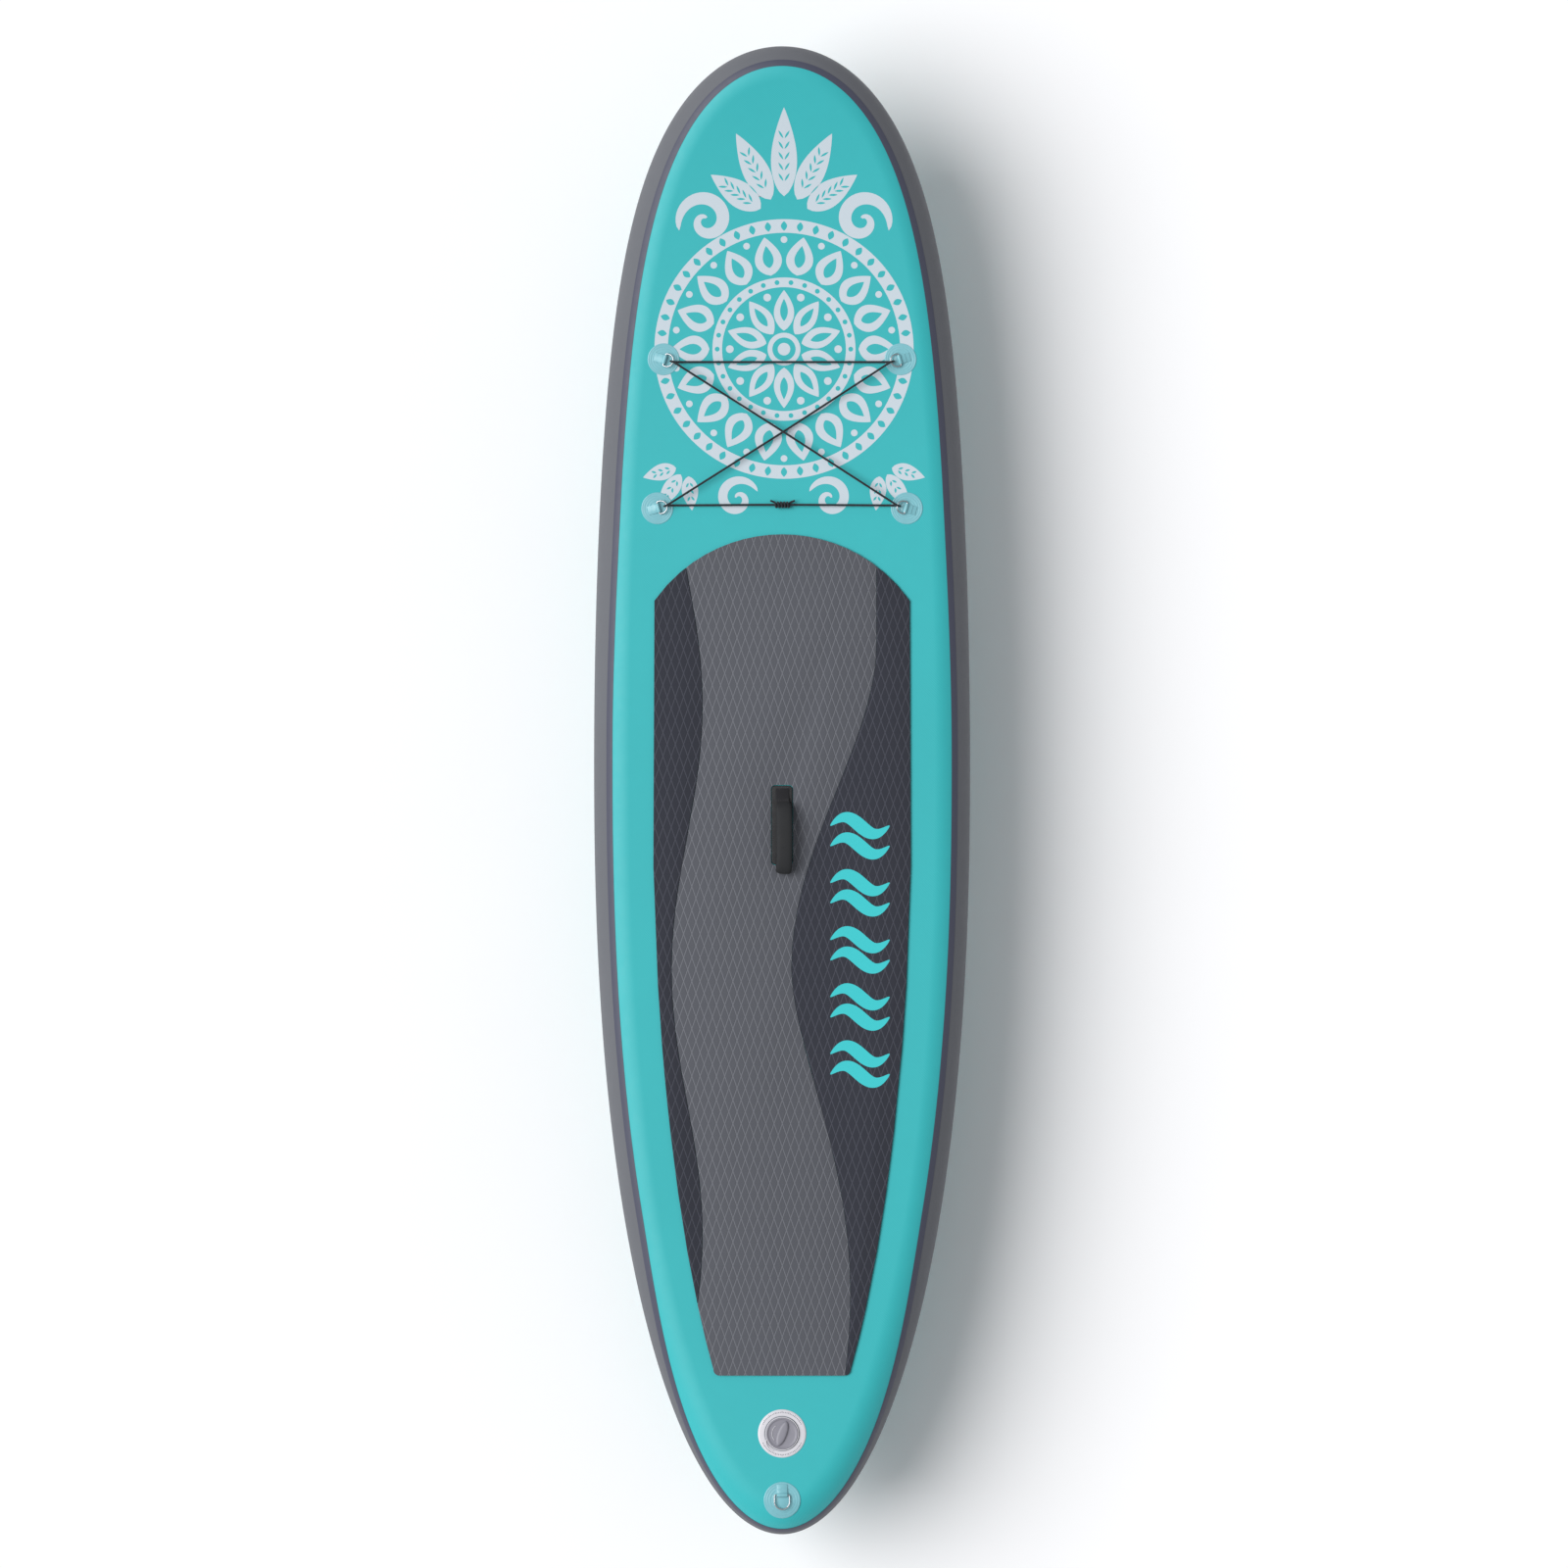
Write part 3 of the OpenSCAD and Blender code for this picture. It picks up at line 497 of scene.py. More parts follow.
def webbing(name, colour, pitch=1.6 * MM, rough=(0.7, 0.9)):
    """Woven strap that runs along the board: ribs across and a chevron along it, with painted highlights on
    the raised ribs.
    """
    g = Graph(name)
    x, y, z = g.axes()
    lift = g.math("ADD", y, g.math("MULTIPLY", z, 0.9))
    rib = g.wave(lift, pitch)
    twill = g.wave(g.math("ADD", lift, g.math("ABSOLUTE", x)), pitch * 2.4)
    height = g.math("ADD", rib, g.math("MULTIPLY", twill, 0.7))
    fuzz = g.noise(700, 4, 0.7)
    tone = g.mix(fuzz, shade(colour, 0.65), shade(colour, 1.6))
    # painted highlight: the raised ribs and twill are made lighter
    g.colour(g.mix(g.band(height, 0.2, 1.6), tone, shade(colour, 2.1)))
    g.rough(g.scale(fuzz, *rough))
    g.normal(g.bump(height, 0.2 * MM, 0.8, g.bump(fuzz, 0.1 * MM, 0.4)))
    g.fixed(Sheen_Weight=0.25, Sheen_Roughness=0.5, Specular_IOR_Level=0.2)
    return g.material


def braid(name, colour):
    """Braided sleeve of the bungee, with the weave's diagonals and painted highlights on the raised strands.
    """
    g = Graph(name)
    x, y, z = g.axes()
    a = g.wave(g.math("ADD", x, y), 2.6 * MM)
    b = g.wave(g.math("SUBTRACT", x, g.math("ADD", y, z)), 2.6 * MM)
    height = g.math("MAXIMUM", a, b)
    fuzz = g.noise(1200, 3, 0.7)
    tone = g.mix(fuzz, shade(colour, 0.7), shade(colour, 1.8))
    # painted highlight: the raised strands are made lighter
    g.colour(g.mix(g.band(height, 0.0, 1.0), tone, shade(colour, 1.9)))
    g.rough(g.scale(fuzz, 0.6, 0.85))
    g.normal(g.bump(height, 0.25 * MM, 0.7))
    g.fixed(Sheen_Weight=0.2, Specular_IOR_Level=0.25)
    return g.material


def moulded(name, colour, rough=(0.35, 0.5), grain=0.06, texture=900, wear=0.12, coat=0.0):
    """Moulded plastic or rubber: fine grain, flow marks and edge polish."""
    g = Graph(name)
    grains = g.noise(texture, 3, 0.6)
    flow = g.noise(14, 5, 0.55)
    scuff = g.band(g.noise(90, 6, 0.7), 0.58, 0.72)
    tone = g.mix(flow, shade(colour, 0.88), shade(colour, 1.12))
    g.colour(g.mix(g.math("MULTIPLY", scuff, wear), tone, shade(colour, 1.7)))
    g.rough(g.math("ADD", g.scale(flow, *rough), g.math("MULTIPLY", scuff, 0.1)))
    g.normal(g.bump(grains, grain * MM, 0.5))
    g.fixed(Coat_Weight=coat, Coat_Roughness=0.25)
    return g.material


def brushed(name, colour):
    """Drawn steel wire with fine streaks and duller spots."""
    g = Graph(name)
    streak = g.noise(2500, 3, 0.7)
    spot = g.noise(60, 4, 0.6)
    g.colour(g.mix(spot, shade(colour, 0.8), shade(colour, 1.1)))
    g.rough(g.scale(g.math("MULTIPLY", streak, spot), 0.2, 0.55))
    g.normal(g.bump(streak, 0.02 * MM, 0.4))
    g.fixed(Metallic=1.0)
    return g.material


def patch_film(name, colour):
    """Clear-ish welded PVC patch over the deck cloth."""
    g = Graph(name)
    cloud = g.noise(70, 4, 0.6)
    fleck = g.noise(420, 2)
    tone = g.mix(cloud, shade(colour, 0.93), shade(colour, 1.06))
    g.colour(g.mix(g.math("MULTIPLY", fleck, 0.15), tone, shade(colour, 1.25)))
    g.rough(g.scale(cloud, 0.28, 0.42))
    g.normal(g.bump(fleck, 0.05 * MM, 0.35))
    g.fixed(Coat_Weight=0.25, Coat_Roughness=0.2)
    g.fixed(Subsurface_Weight=0.08, Subsurface_Radius=(0.004, 0.004, 0.004))
    return g.material


def printed(name, colour, pitch=5 * MM, gloss=(0.4, 0.55)):
    """Ink printed on the cloth: the weave shows through it, and it is thin in places."""
    g = Graph(name)
    x, y, z = g.axes()
    weave = g.math("MULTIPLY", g.wave(x, pitch), g.wave(y, pitch))
    thin = g.noise(240, 4, 0.7)
    tone = g.mix(g.scale(thin, 0.0, 0.5), colour, shade(colour, 0.86))
    g.colour(g.mix(g.math("MULTIPLY", g.band(weave, 0.3, 1.0), 0.12), tone, shade(colour, 0.7)))
    g.rough(g.scale(thin, *gloss))
    g.normal(g.bump(weave, 0.1 * MM, 0.6))
    return g.material


def dress(node, material):
    """Gives a CAD node that stays in view its material."""
    mesh = frame["nodes"][node].data
    mesh.materials.clear()
    mesh.materials.append(material)


M_DECK = coated_cloth("deck_cloth", (0.033, 0.450, 0.475))
M_BOTTOM = coated_cloth("bottom_cloth", (0.034, 0.455, 0.475), pitch=8 * MM, dimple=True)
M_RAIL = coated_cloth("rail_cloth", (0.138, 0.144, 0.160), 3.2 * MM, 0.08 * MM, rough=(0.5, 0.65), gloss=0.2)
M_TAPE = coated_cloth("seam_tape", (0.066, 0.070, 0.106), 3.2 * MM, 0.06 * MM, rough=(0.4, 0.55))
M_FOAM = foam("foam_dark", (0.023, 0.025, 0.036), (0.053, 0.056, 0.075))
M_WAVE = foam("foam_light", (0.083, 0.087, 0.102), (0.150, 0.156, 0.178))
M_PRINT = printed("deck_print", (0.560, 0.640, 0.700))
M_PRINT_LOW = printed("bottom_print", (0.600, 0.590, 0.650), pitch=8 * MM)
M_GOLD = printed("bottom_print_gold", (0.500, 0.330, 0.050), pitch=8 * MM)
M_MARK = printed("pad_print", (0.035, 0.560, 0.590), pitch=4 * MM, gloss=(0.6, 0.8))
M_FILM = patch_film("patch_film", (0.195, 0.480, 0.540))
M_BLACK_CLOTH = coated_cloth("black_cloth", (0.012, 0.012, 0.014), pitch=2.5 * MM, rough=(0.5, 0.7))
M_STRAP = webbing("black_webbing", (0.011, 0.011, 0.013))
M_GRIP = moulded("neoprene", (0.011, 0.012, 0.014), rough=(0.7, 0.9), grain=0.2, texture=1500, wear=0.05)
M_THREAD = webbing("thread", (0.05, 0.05, 0.056), pitch=0.8 * MM)
M_CORD = braid("bungee_braid", (0.010, 0.011, 0.014))
M_STEEL = brushed("ring_steel", (0.50, 0.52, 0.54))
M_BOX = moulded("box_plastic", (0.010, 0.009, 0.011), rough=(0.3, 0.48), coat=0.1)
M_FIN = moulded("fin_plastic", (0.008, 0.009, 0.010), rough=(0.32, 0.5), grain=0.12, texture=1300)
M_WHITE = moulded("white_plastic", (0.66, 0.65, 0.69), rough=(0.35, 0.5), wear=0.05)
M_GREY = moulded("grey_plastic", (0.250, 0.245, 0.285), rough=(0.35, 0.5), wear=0.06)
M_DARK_GREY = moulded("grey_plastic_marks", (0.10, 0.10, 0.13), rough=(0.4, 0.5), wear=0.02)
M_SEAL = moulded("seal_rubber", (0.02, 0.02, 0.02), rough=(0.6, 0.8))
M_LABEL = moulded("label_film", (0.72, 0.72, 0.75), rough=(0.22, 0.32), grain=0.02, wear=0.03, coat=0.3)
M_LABEL_GREY = moulded("label_ink", (0.42, 0.43, 0.47), rough=(0.3, 0.4), grain=0.02, wear=0.03)
M_YARN = webbing("yarn", (0.6, 0.6, 0.58), pitch=1.0 * MM)


# ---- hull ----

def hull_panel(name, node, up, material):
    """Deck or bottom cloth with the curve over the rail and its thickness."""
    sign, seam = (1, deck_seam) if up else (-1, bottom_seam)
    loops = [skin_loop(sign, seam, i / 10, 0) for i in range(11)]
    loops += [skin_loop(sign, seam, i / 2, CLOTH) for i in (2, 1, 0)]
    verts, faces = rows_of(loops)
    faces += folded_cap(STATIONS, 0) + folded_cap(STATIONS, (len(loops) - 1) * 2 * STATIONS)
    return make(name, (verts, faces), material, "board", (node,), 50)


def cut_hole(obj, at, radius):
    """Cuts the valve's hole through the deck cloth."""
    ends = [Vector((at.x, at.y, DECK + side * 20 * MM)) for side in (-1, 1)]
    shape = swept(ends, round_section(radius, 64), X_AXIS)
    tool = make("hole_tool", shape, obj.data.materials[0], body=None)
    cut = obj.modifiers.new("hole", "BOOLEAN")
    cut.operation = "DIFFERENCE"
    cut.solver = "EXACT"
    cut.object = tool
    bake(obj, 50)
    bpy.data.objects.remove(tool)


def rail(node, side):
    """Side wall of the hull from the bottom seam up to the deck seam."""
    lap, steps = 0.4, 26
    rows = []
    for k in range(STATIONS + 1):
        t = k / STATIONS
        low, high = lap - SEAM_ANGLE, deck_seam(t) - lap
        outer = [skin(t, side, low + (high - low) * i / steps, 0) for i in range(steps + 1)]
        rows.append(outer + [skin(t, side, high - (high - low) * i / 6, CLOTH) for i in range(7)])
    return make(node + "_look", capped(rows), M_RAIL, "board", (node,), 50)


def seam_tape(node, sign):
    """Thin tape with bevelled edges laid right round the board over a seam."""
    span = 15 * MM / EDGE_R * 180 / math.pi
    seam = deck_seam if sign > 0 else bottom_seam
    rows = []
    for k in range(2 * STATIONS):
        t, side = loop_t(k), 1 if k <= STATIONS else -1
        arc = [seam(t) + 1.5 - span * (1 - i / 6) for i in range(7)]
        outer = [skin(t, side, sign * a, -0.8 * MM if 0 < i < 6 else -0.6 * MM) for i, a in enumerate(arc)]
        inner = [skin(t, side, sign * a, -0.1 * MM) for a in reversed(arc)]
        rows.append(outer + inner)
    return make(node + "_look", rows_of(rows, wrap=True), M_TAPE, "board", (node,), 50)


valve = centre("valve_flange")
deck = hull_panel("deck_look", "deck_panel", True, M_DECK)
cut_hole(deck, valve, BARREL_R + 0.3 * MM)
hull_panel("bottom_look", "bottom_panel", False, M_BOTTOM)
rail("rail_port", -1)
rail("rail_starboard", 1)
seam_tape("seam_tape_deck", 1)
seam_tape("seam_tape_bottom", -1)
dress("drop_stitch_yarns", M_YARN)


# ---- printed artwork: thin layers of ink that follow the surface ----

def ink(name, outlines, material, height, sign=1, thick=0.1 * MM):
    """Fills closed outlines in mm, even-odd, and lays them on the surface given by height(y)."""
    data = bpy.data.curves.new(name, "CURVE")
    data.dimensions = "2D"
    data.fill_mode = "BOTH"
    for outline in outlines:
        spline = data.splines.new("POLY")
        spline.points.add(len(outline) - 1)
        for point, p in zip(spline.points, outline):
            point.co = (p[0] * MM, p[1] * MM, 0, 1)
        spline.use_cyclic_u = True
    temp = bpy.data.objects.new(name + "_curve", data)
    bpy.context.scene.collection.objects.link(temp)
    bpy.context.view_layer.update()
    mesh = bpy.data.meshes.new_from_object(temp.evaluated_get(bpy.context.evaluated_depsgraph_get()))
    bpy.data.objects.remove(temp)
    bm = bmesh.new()
    bm.from_mesh(mesh)
    bmesh.ops.remove_doubles(bm, verts=bm.verts, dist=1e-6)
    top = max(v.co.y for v in bm.verts)
    cut = ROCKER_FROM
    while cut < top:
        bmesh.ops.bisect_plane(bm, geom=bm.verts[:] + bm.edges[:] + bm.faces[:], dist=1e-7,
                               plane_co=(0, cut, 0), plane_no=(0, 1, 0))
        cut += 12 * MM
    extruded = bmesh.ops.extrude_face_region(bm, geom=bm.faces[:])
    above = {v for v in extruded["geom"] if isinstance(v, bmesh.types.BMVert)}
    for v in bm.verts:
        v.co.z = height(v.co.y) + sign * (thick if v in above else 0)
    bmesh.ops.recalc_face_normals(bm, faces=bm.faces)
    bm.to_mesh(mesh)
    bm.free()
    return finish_piece(name, mesh, material, "board")


def circle(cx, cy, r, n=48):
    return [(cx + x, cy + y) for x, y in round_section(r, n)]


def leaf(cx, cy, angle, start, end, width, tip=1.0, n=22, bend=0.0):
    """Pointed leaf along a direction in degrees, from start to end, bent sideways by bend."""
    a = math.radians(angle)
    along, across = (math.cos(a), math.sin(a)), (-math.sin(a), math.cos(a))
    sides = ([], [])
    for i in range(n + 1):
        s = i / n
        r = start + (end - start) * s
        half = width * math.sin(math.pi * s ** tip) ** 0.9
        off = bend * math.sin(math.pi * s)
        for side, sign in zip(sides, (1, -1)):
            w = off + sign * half
            side.append((cx + along[0] * r + across[0] * w, cy + along[1] * r + across[1] * w))
    return sides[0] + sides[1][-2:0:-1]


def stroke(points, width):
    """Outline of a stroke along points, its half width given by width(s)."""
    left, right = [], []
    n = len(points)
    for i, (x, y) in enumerate(points):
        ax, ay = points[max(0, i - 1)]
        bx, by = points[min(n - 1, i + 1)]
        l = math.hypot(bx - ax, by - ay)
        nx, ny = -(by - ay) / l, (bx - ax) / l
        w = width(i / (n - 1))
        left.append((x + nx * w, y + ny * w))
        right.append((x - nx * w, y - ny * w))
    return left + right[::-1]


def curl(cx, cy, size, turn, start=0.0, sweep=1.35, n=60, flip=1):
    """Wave curl: a spiral stroke that thins to its inner end."""

    def width(s):
        return size * turn * (0.03 + math.sin(math.pi * (0.9 * s) ** 0.7) ** 0.8) * (1 - 0.5 * s)

    points = []
    for i in range(n + 1):
        s = i / n
        a = math.radians(start) + flip * 2 * math.pi * sweep * s
        r = size * (1 - 0.88 * s) ** 1.1
        points.append((cx + r * math.cos(a), cy + r * math.sin(a)))
    return stroke(points, width)


def nose_art():
    """A flower rosette inside two bands pierced with dots."""
    cx, cy = 4, 915
    shapes = [circle(cx, cy, 34), circle(cx, cy, 24), circle(cx, cy, 13)]

    def dot(degrees, reach, r, n):
        b = math.radians(degrees)
        shapes.append(circle(cx + reach * math.cos(b), cy + reach * math.sin(b), r, n))

    for i in range(10):
        a = 36 * i + 18
        shapes.extend((leaf(cx, cy, a, 38, 122, 21, 0.85), leaf(cx, cy, a, 58, 104, 8, 0.85)))
        dot(a + 18, 112, 8, 24)
    shapes.extend((circle(cx, cy, 148, 96), circle(cx, cy, 128, 96)))
    for i in range(30):
        dot(12 * i, 138, 5, 16)
    for i in range(18):
        a = 20 * i
        shapes.extend((leaf(cx, cy, a, 154, 234, 28, 0.75), leaf(cx, cy, a, 170, 216, 11, 0.75)))
        dot(a + 10, 226, 7, 20)
    shapes.extend((circle(cx, cy, 268, 120), circle(cx, cy, 240, 120)))
    shapes.extend(leaf(cx, cy, 7.5 * i, 244, 264, 6.5, 1.0, 8) for i in range(48))
    return shapes


def leaf_fan(cx, cy, angles, reach, width, veins=5, root=58):
    """Leaves spread from one root, each with side veins left bare."""
    shapes = []
    for k, a in enumerate(angles):
        r = reach * (1 - 0.12 * abs(k - (len(angles) - 1) / 2))
        shapes.append(leaf(cx, cy, a, root, r, width, 0.75))
        c, s = math.cos(math.radians(a)), math.sin(math.radians(a))
        for j in range(veins):
            d = root + (r - root) * (0.16 + 0.6 * j / veins)
            for side in (1, -1):
                shapes.append(leaf(cx + c * d, cy + s * d, a + side * 32, 2.5, width * 0.8, 2.2, 1.0, n=6))
    return shapes


def deck_height(y):
    return DECK + 0.05 * MM + rise(y)


ink("nose_print_rosette", nose_art(), M_PRINT, deck_height)
ink("nose_print_leaves", leaf_fan(4, 1172, (146, 118, 90, 62, 34), 240, 27), M_PRINT, deck_height)
front_curls = [curl(-158, 1180, 58, 0.27, 200, flip=-1), curl(166, 1180, 58, 0.27, -20)]
ink("nose_print_curls", front_curls, M_PRINT, deck_height)
rear_leaves = leaf_fan(-196, 676, (196, 236, 276), 108, 17, 3, 24)
rear_leaves += leaf_fan(204, 676, (-16, -56, -96), 108, 17, 3, 24)
ink("nose_print_rear_leaves", rear_leaves, M_PRINT, deck_height)
rear_curls = [curl(-92, 606, 44, 0.26, 20), curl(98, 606, 44, 0.26, 160, flip=-1)]
ink("nose_print_rear_curls", rear_curls, M_PRINT, deck_height)


def pad_marks():
    """Column of double wave strokes on the dark foam."""
    shapes = []
    first, pitch, gap, swing = -70, 118, 42, 17
    for k in range(5):
        for row in (0, 1):
            base = first - pitch * k - gap * row
            points = [(100 + 3.05 * s, base + swing * math.sin(math.pi * s / 20)) for s in range(41)]
            shapes.append(stroke(points, lambda s: 1 + 13 * math.sin(math.pi * s) ** 0.8))
    return shapes


ink("pad_print", pad_marks(), M_MARK, lambda y: PAD_TOP + 0.05 * MM)


def bottom_art(grow):
    """Large leaves in a row down the bottom, leaning left and right by turns."""
    shapes = []
    first, pitch = 1310, 366
    for k, size in enumerate((0.62, 0.86, 1, 1, 1, 0.94)):
        lean, bend = (18, 34) if k % 2 else (162, -34)
        a = math.radians(lean)
        reach = 300 * size
        sx, sy = -reach * math.cos(a), first - pitch * k - reach * math.sin(a)
        shapes.append(leaf(sx, sy, lean, -grow, 2 * reach + grow, 112 * size + grow, 0.72, 48, bend * size))
        inner, outer = 0.5 * reach + grow, 1.3 * reach - grow
        shapes.append(leaf(sx, sy, lean, inner, outer, 20 * size - grow, 0.8, 30, bend * size))
    return shapes


for art_name, art_grow, art_ink, art_depth in (("bottom_print_outline", 9, M_GOLD, 0.05 * MM),
                                               ("bottom_print_shapes", 0, M_PRINT_LOW, 0.2 * MM)):
    ink(art_name, bottom_art(art_grow), art_ink, lambda y: rise(y) - art_depth, -1)


# ---- foam pad ----

for pad_node, pad_material, pad_slot in (("deck_pad_wave", M_WAVE, "foam_light"),
                                         ("deck_pad_port", M_FOAM, "foam_dark"),
                                         ("deck_pad_starboard", M_FOAM, "foam_dark")):
    softened(pad_node, pad_material, 1.6 * MM, 3, 50)


# ---- carry handle ----

handle_low, handle_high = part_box("handle_patch")
HANDLE_Y = centre("handle_patch").y
HANDLE_L = handle_high.y - handle_low.y
HANDLE_W = handle_high.x - handle_low.x
PATCH_TOP = handle_high.z
STRAP_W = 27 * MM
GRIP_W = 33 * MM
GRIP_T = 13 * MM
# the strap's line: distance back from the front of the patch, and height over it
HANDLE_RUN = [(6, 1.3), (18, 1.3), (28, 4), (37, 12), (50, 22), (75, 29), (108, 31), (140, 30),
              (166, 25), (178, 16), (175, 6.5), (163, 2), (151, 1.3), (140, 1.3)]


def handle_path(k):
    """The strap's line over the patch, leaning a little to starboard as it rises."""
    front = Vector((0, HANDLE_Y + HANDLE_L / 2, PATCH_TOP))
    return smooth_path([front + Vector((5 * h / 31, -d, h)) * MM for d, h in HANDLE_RUN], k)


def strap_section(w, t):
    """Flat section with thin round edges."""
    r = t * 0.9
    half = [(w - r, t), (-w + r, t), (-w, t * 0.4), (-w, -t * 0.4)]
    return half + [(-x, -y) for x, y in half]


def stitch_row(points, up, length=2.6 * MM, gap=1.6 * MM, r=0.32 * MM):
    """Short rounded stitches along a line of points on a surface."""
    parts = []
    for a, b in zip(points, points[1:]):
        span = (b - a).length
        u = (b - a) / span
        at = 0.0
        while at + length < span:
            arch = ((0, -0.8), (0.2, 0.7), (0.5, 1), (0.8, 0.7), (1, -0.8))
            path = [a + u * (at + length * s) + up * r * h for s, h in arch]
            parts.append(swept(path, round_section(r, 6), u.cross(up)))
            at += length + gap
    return joined(*parts)


def build_handle():
    """Sewn patch, strap over it and the padded grip round the middle of the strap."""
    softened("handle_patch", M_BLACK_CLOTH, 1.2 * MM, 3)
    edge = round_rect(HANDLE_W - 7 * MM, HANDLE_L - 7 * MM, 5 * MM, 4)
    top = [Vector((p.x, HANDLE_Y + p.y, PATCH_TOP)) for p in edge]
    make("handle_patch_stitches", stitch_row(top + [top[0]], Z_AXIS), M_THREAD, "board")
    path = handle_path(8)
    shape = swept(path, strap_section(STRAP_W / 2, 0.9 * MM), X_AXIS)
    strap = make("handle_strap_look", shape, M_STRAP, None, ("handle_strap",))
    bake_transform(strap)
    covered = path[24:24 + 8 * 6 + 1]

    def pad_section(s):
        end = min(s, 1 - s)
        swell = 0.93 + 0.07 * min(1.0, end * 9) ** 0.5
        close = 1.0 if end > 0.012 else 0.9
        return oval_section(GRIP_W / 2 * swell * close, GRIP_T / 2 * swell * close)

    shape = swept(covered, pad_section, X_AXIS)
    grip = make("handle_grip_look", shape, M_GRIP, "handle_grip", ("handle_grip",), 60)
    grip.modifiers.new("round", "SUBSURF").levels = 1
    bake(grip, 60)


build_handle()


# ---- inflation valve ----

def polar(at, degrees, r, z=0.0):
    """Point at an angle and radius about a centre, r and z in mm."""
    a = math.radians(degrees)
    return at + Vector((r * math.cos(a), r * math.sin(a), z)) * MM


def block(at, ux, uy, low, high):
    """Box between two corners in mm, in a frame turned about the vertical."""
    verts = []
    for z in (low[2], high[2]):
        for x, y in ((low[0], low[1]), (high[0], low[1]), (high[0], high[1]), (low[0], high[1])):
            verts.append(at + ux * x * MM + uy * y * MM + Vector((0, 0, z * MM)))
    return verts, [(0, 1, 2, 3), (4, 5, 6, 7), (0, 1, 5, 4), (1, 2, 6, 5), (2, 3, 7, 6), (3, 0, 4, 7)]


def build_flange(at):
    """Rounded flange ring with plain ticks along its front and back arcs."""
    ring = [(36.1, 0.1), (36.1, 1.7), (36.8, 2.2), (39, 2.3),
            (46.5, 2.3), (48.6, 1.9), (49.8, 0.9), (50, 0.1)]
    make("valve_flange_look", revolve(ring, at, 128), M_WHITE, "board", ("valve_flange",))
    ticks = []
    for k in range(80):
        a = 2 * math.pi * k / 80
        if abs(math.sin(a)) < 0.45:
            continue
        u, v = Vector((math.cos(a), math.sin(a), 0)), Vector((-math.sin(a), math.cos(a), 0))
        ticks.append(block(at, u, v, (42.6, -0.65, 2.22), (45 if k % 4 else 46.2, 0.65, 2.32)))
    make("valve_flange_ticks", joined(*ticks), M_DARK_GREY, "board")


def build_spring(at):
    """Coil spring under the valve's stem, which shortens as the stem is pushed."""
    low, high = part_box("valve_spring")
    turns, steps, wire = 4, 32, 0.6
    base = Vector((at.x, at.y, low.z))
    height = (high.z - low.z) / MM - 2 * wire
    last = turns * steps
    coil = [polar(base, 360 * i / steps, 6.2, wire + height * i / last) for i in range(last + 1)]
    shape = swept(coil, round_section(wire * MM, 8), Z_AXIS)
    spring = make("valve_spring_look", shape, M_STEEL, "valve_spring", ("valve_spring",))
    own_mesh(spring)


def build_valve():
    at = Vector((0, valve.y, DECK))
    build_flange(at)
    softened("valve_body", M_GREY, 0.5 * MM, 2, 40)
    build_cap(at)
    dress("valve_backing_ring", M_GREY)
    dress("valve_stem", M_WHITE)
    dress("valve_stem_seal", M_SEAL)
    dress("valve_cap_gasket", M_SEAL)
    dress("valve_cap_collar", M_WHITE)
    build_spring(at)
    tether = [(200, 35.5, 5.4), (206, 37.4, 5.2), (214, 39.2, 4.6),
              (224, 40.6, 3.8), (234, 40.8, 3.3), (244, 39.4, 3.2)]
    path = smooth_path([polar(at, *p) for p in tether], 6)
    shape = swept(path, oval_section(0.6 * MM, 0.9 * MM, 12), Z_AXIS)
    strap = make("valve_tether_look", shape, M_WHITE, None, ("valve_tether",))
    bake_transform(strap)


def build_cap(at):
    """Cap with a raised rim, a dished floor, a finger wing and a grip arc."""
    rim = [(22.8, -6.3), (23.4, -6.5), (25.2, -6.5), (25.6, -6.0), (25.6, 4.3), (32.4, 4.3),
           (32.8, 4.8), (32.8, 7.2), (32.2, 7.9), (31, 8.05), (29.8, 7.6), (28.8, 6.3),
           (27, 6.05), (16, 6.0), (0.01, 6.3), (0.01, 4.4), (22.8, 4.3)]
    tilt = math.radians(70)
    along = Vector((math.cos(tilt), math.sin(tilt), 0))
    across = Vector((-along.y, along.x, 0))
    rows = []
    layers = [(1.0, 5.9, 1.0), (0.98, 8.0, 1.0), (0.93, 9.8, 0.9), (0.86, 10.7, 0.72), (0.7, 11.0, 0.4)]
    for s, z, grow in layers:
        row = []
        for c, d in circle_steps(48):
            l = 27.6 * s * math.copysign(abs(c) ** 0.8, c)
            w = 8.4 * grow * math.copysign(abs(d) ** 0.9, d) * (1 - 0.16 * (c * c - d * d))
            row.append(at + (along * l + across * w + Vector((0, 0, z))) * MM)
        rows.append(row)
    shape = joined(revolve(rim, at), capped(rows))
    make("valve_cap_look", shape, M_GREY, "valve_cap", ("valve_cap",), 45)
    arc = [polar(at, 128 + 92 * i / 24, 21, 6.5) for i in range(25)]
    shape = swept(arc, oval_section(0.7 * MM, 0.5 * MM, 10), Z_AXIS)
    make("valve_cap_rib", shape, M_WHITE, "valve_cap")


build_valve()


# ---- nose rings, tabs and bungee ----

# direction of each ring's pull, in degrees
RING_PULL = {"port_front": -16, "port_rear": 16, "starboard_front": 196, "starboard_rear": 164}
PATCH_R = 33 * MM


def ring_frame(key):
    """Patch centre on the deck and the ring's pull and cross directions."""
    c = centre("ring_patch_" + key)
    at = Vector((c.x, c.y, DECK + 0.2 * MM + rise(c.y)))
    turn = Matrix.Rotation(math.atan(rise_slope(c.y)), 3, "X")
    a = math.radians(RING_PULL[key])
    pull = turn @ Vector((math.cos(a), math.sin(a), 0))
    cross = turn @ Vector((-math.sin(a), math.cos(a), 0))
    return at, pull, cross, turn @ Z_AXIS


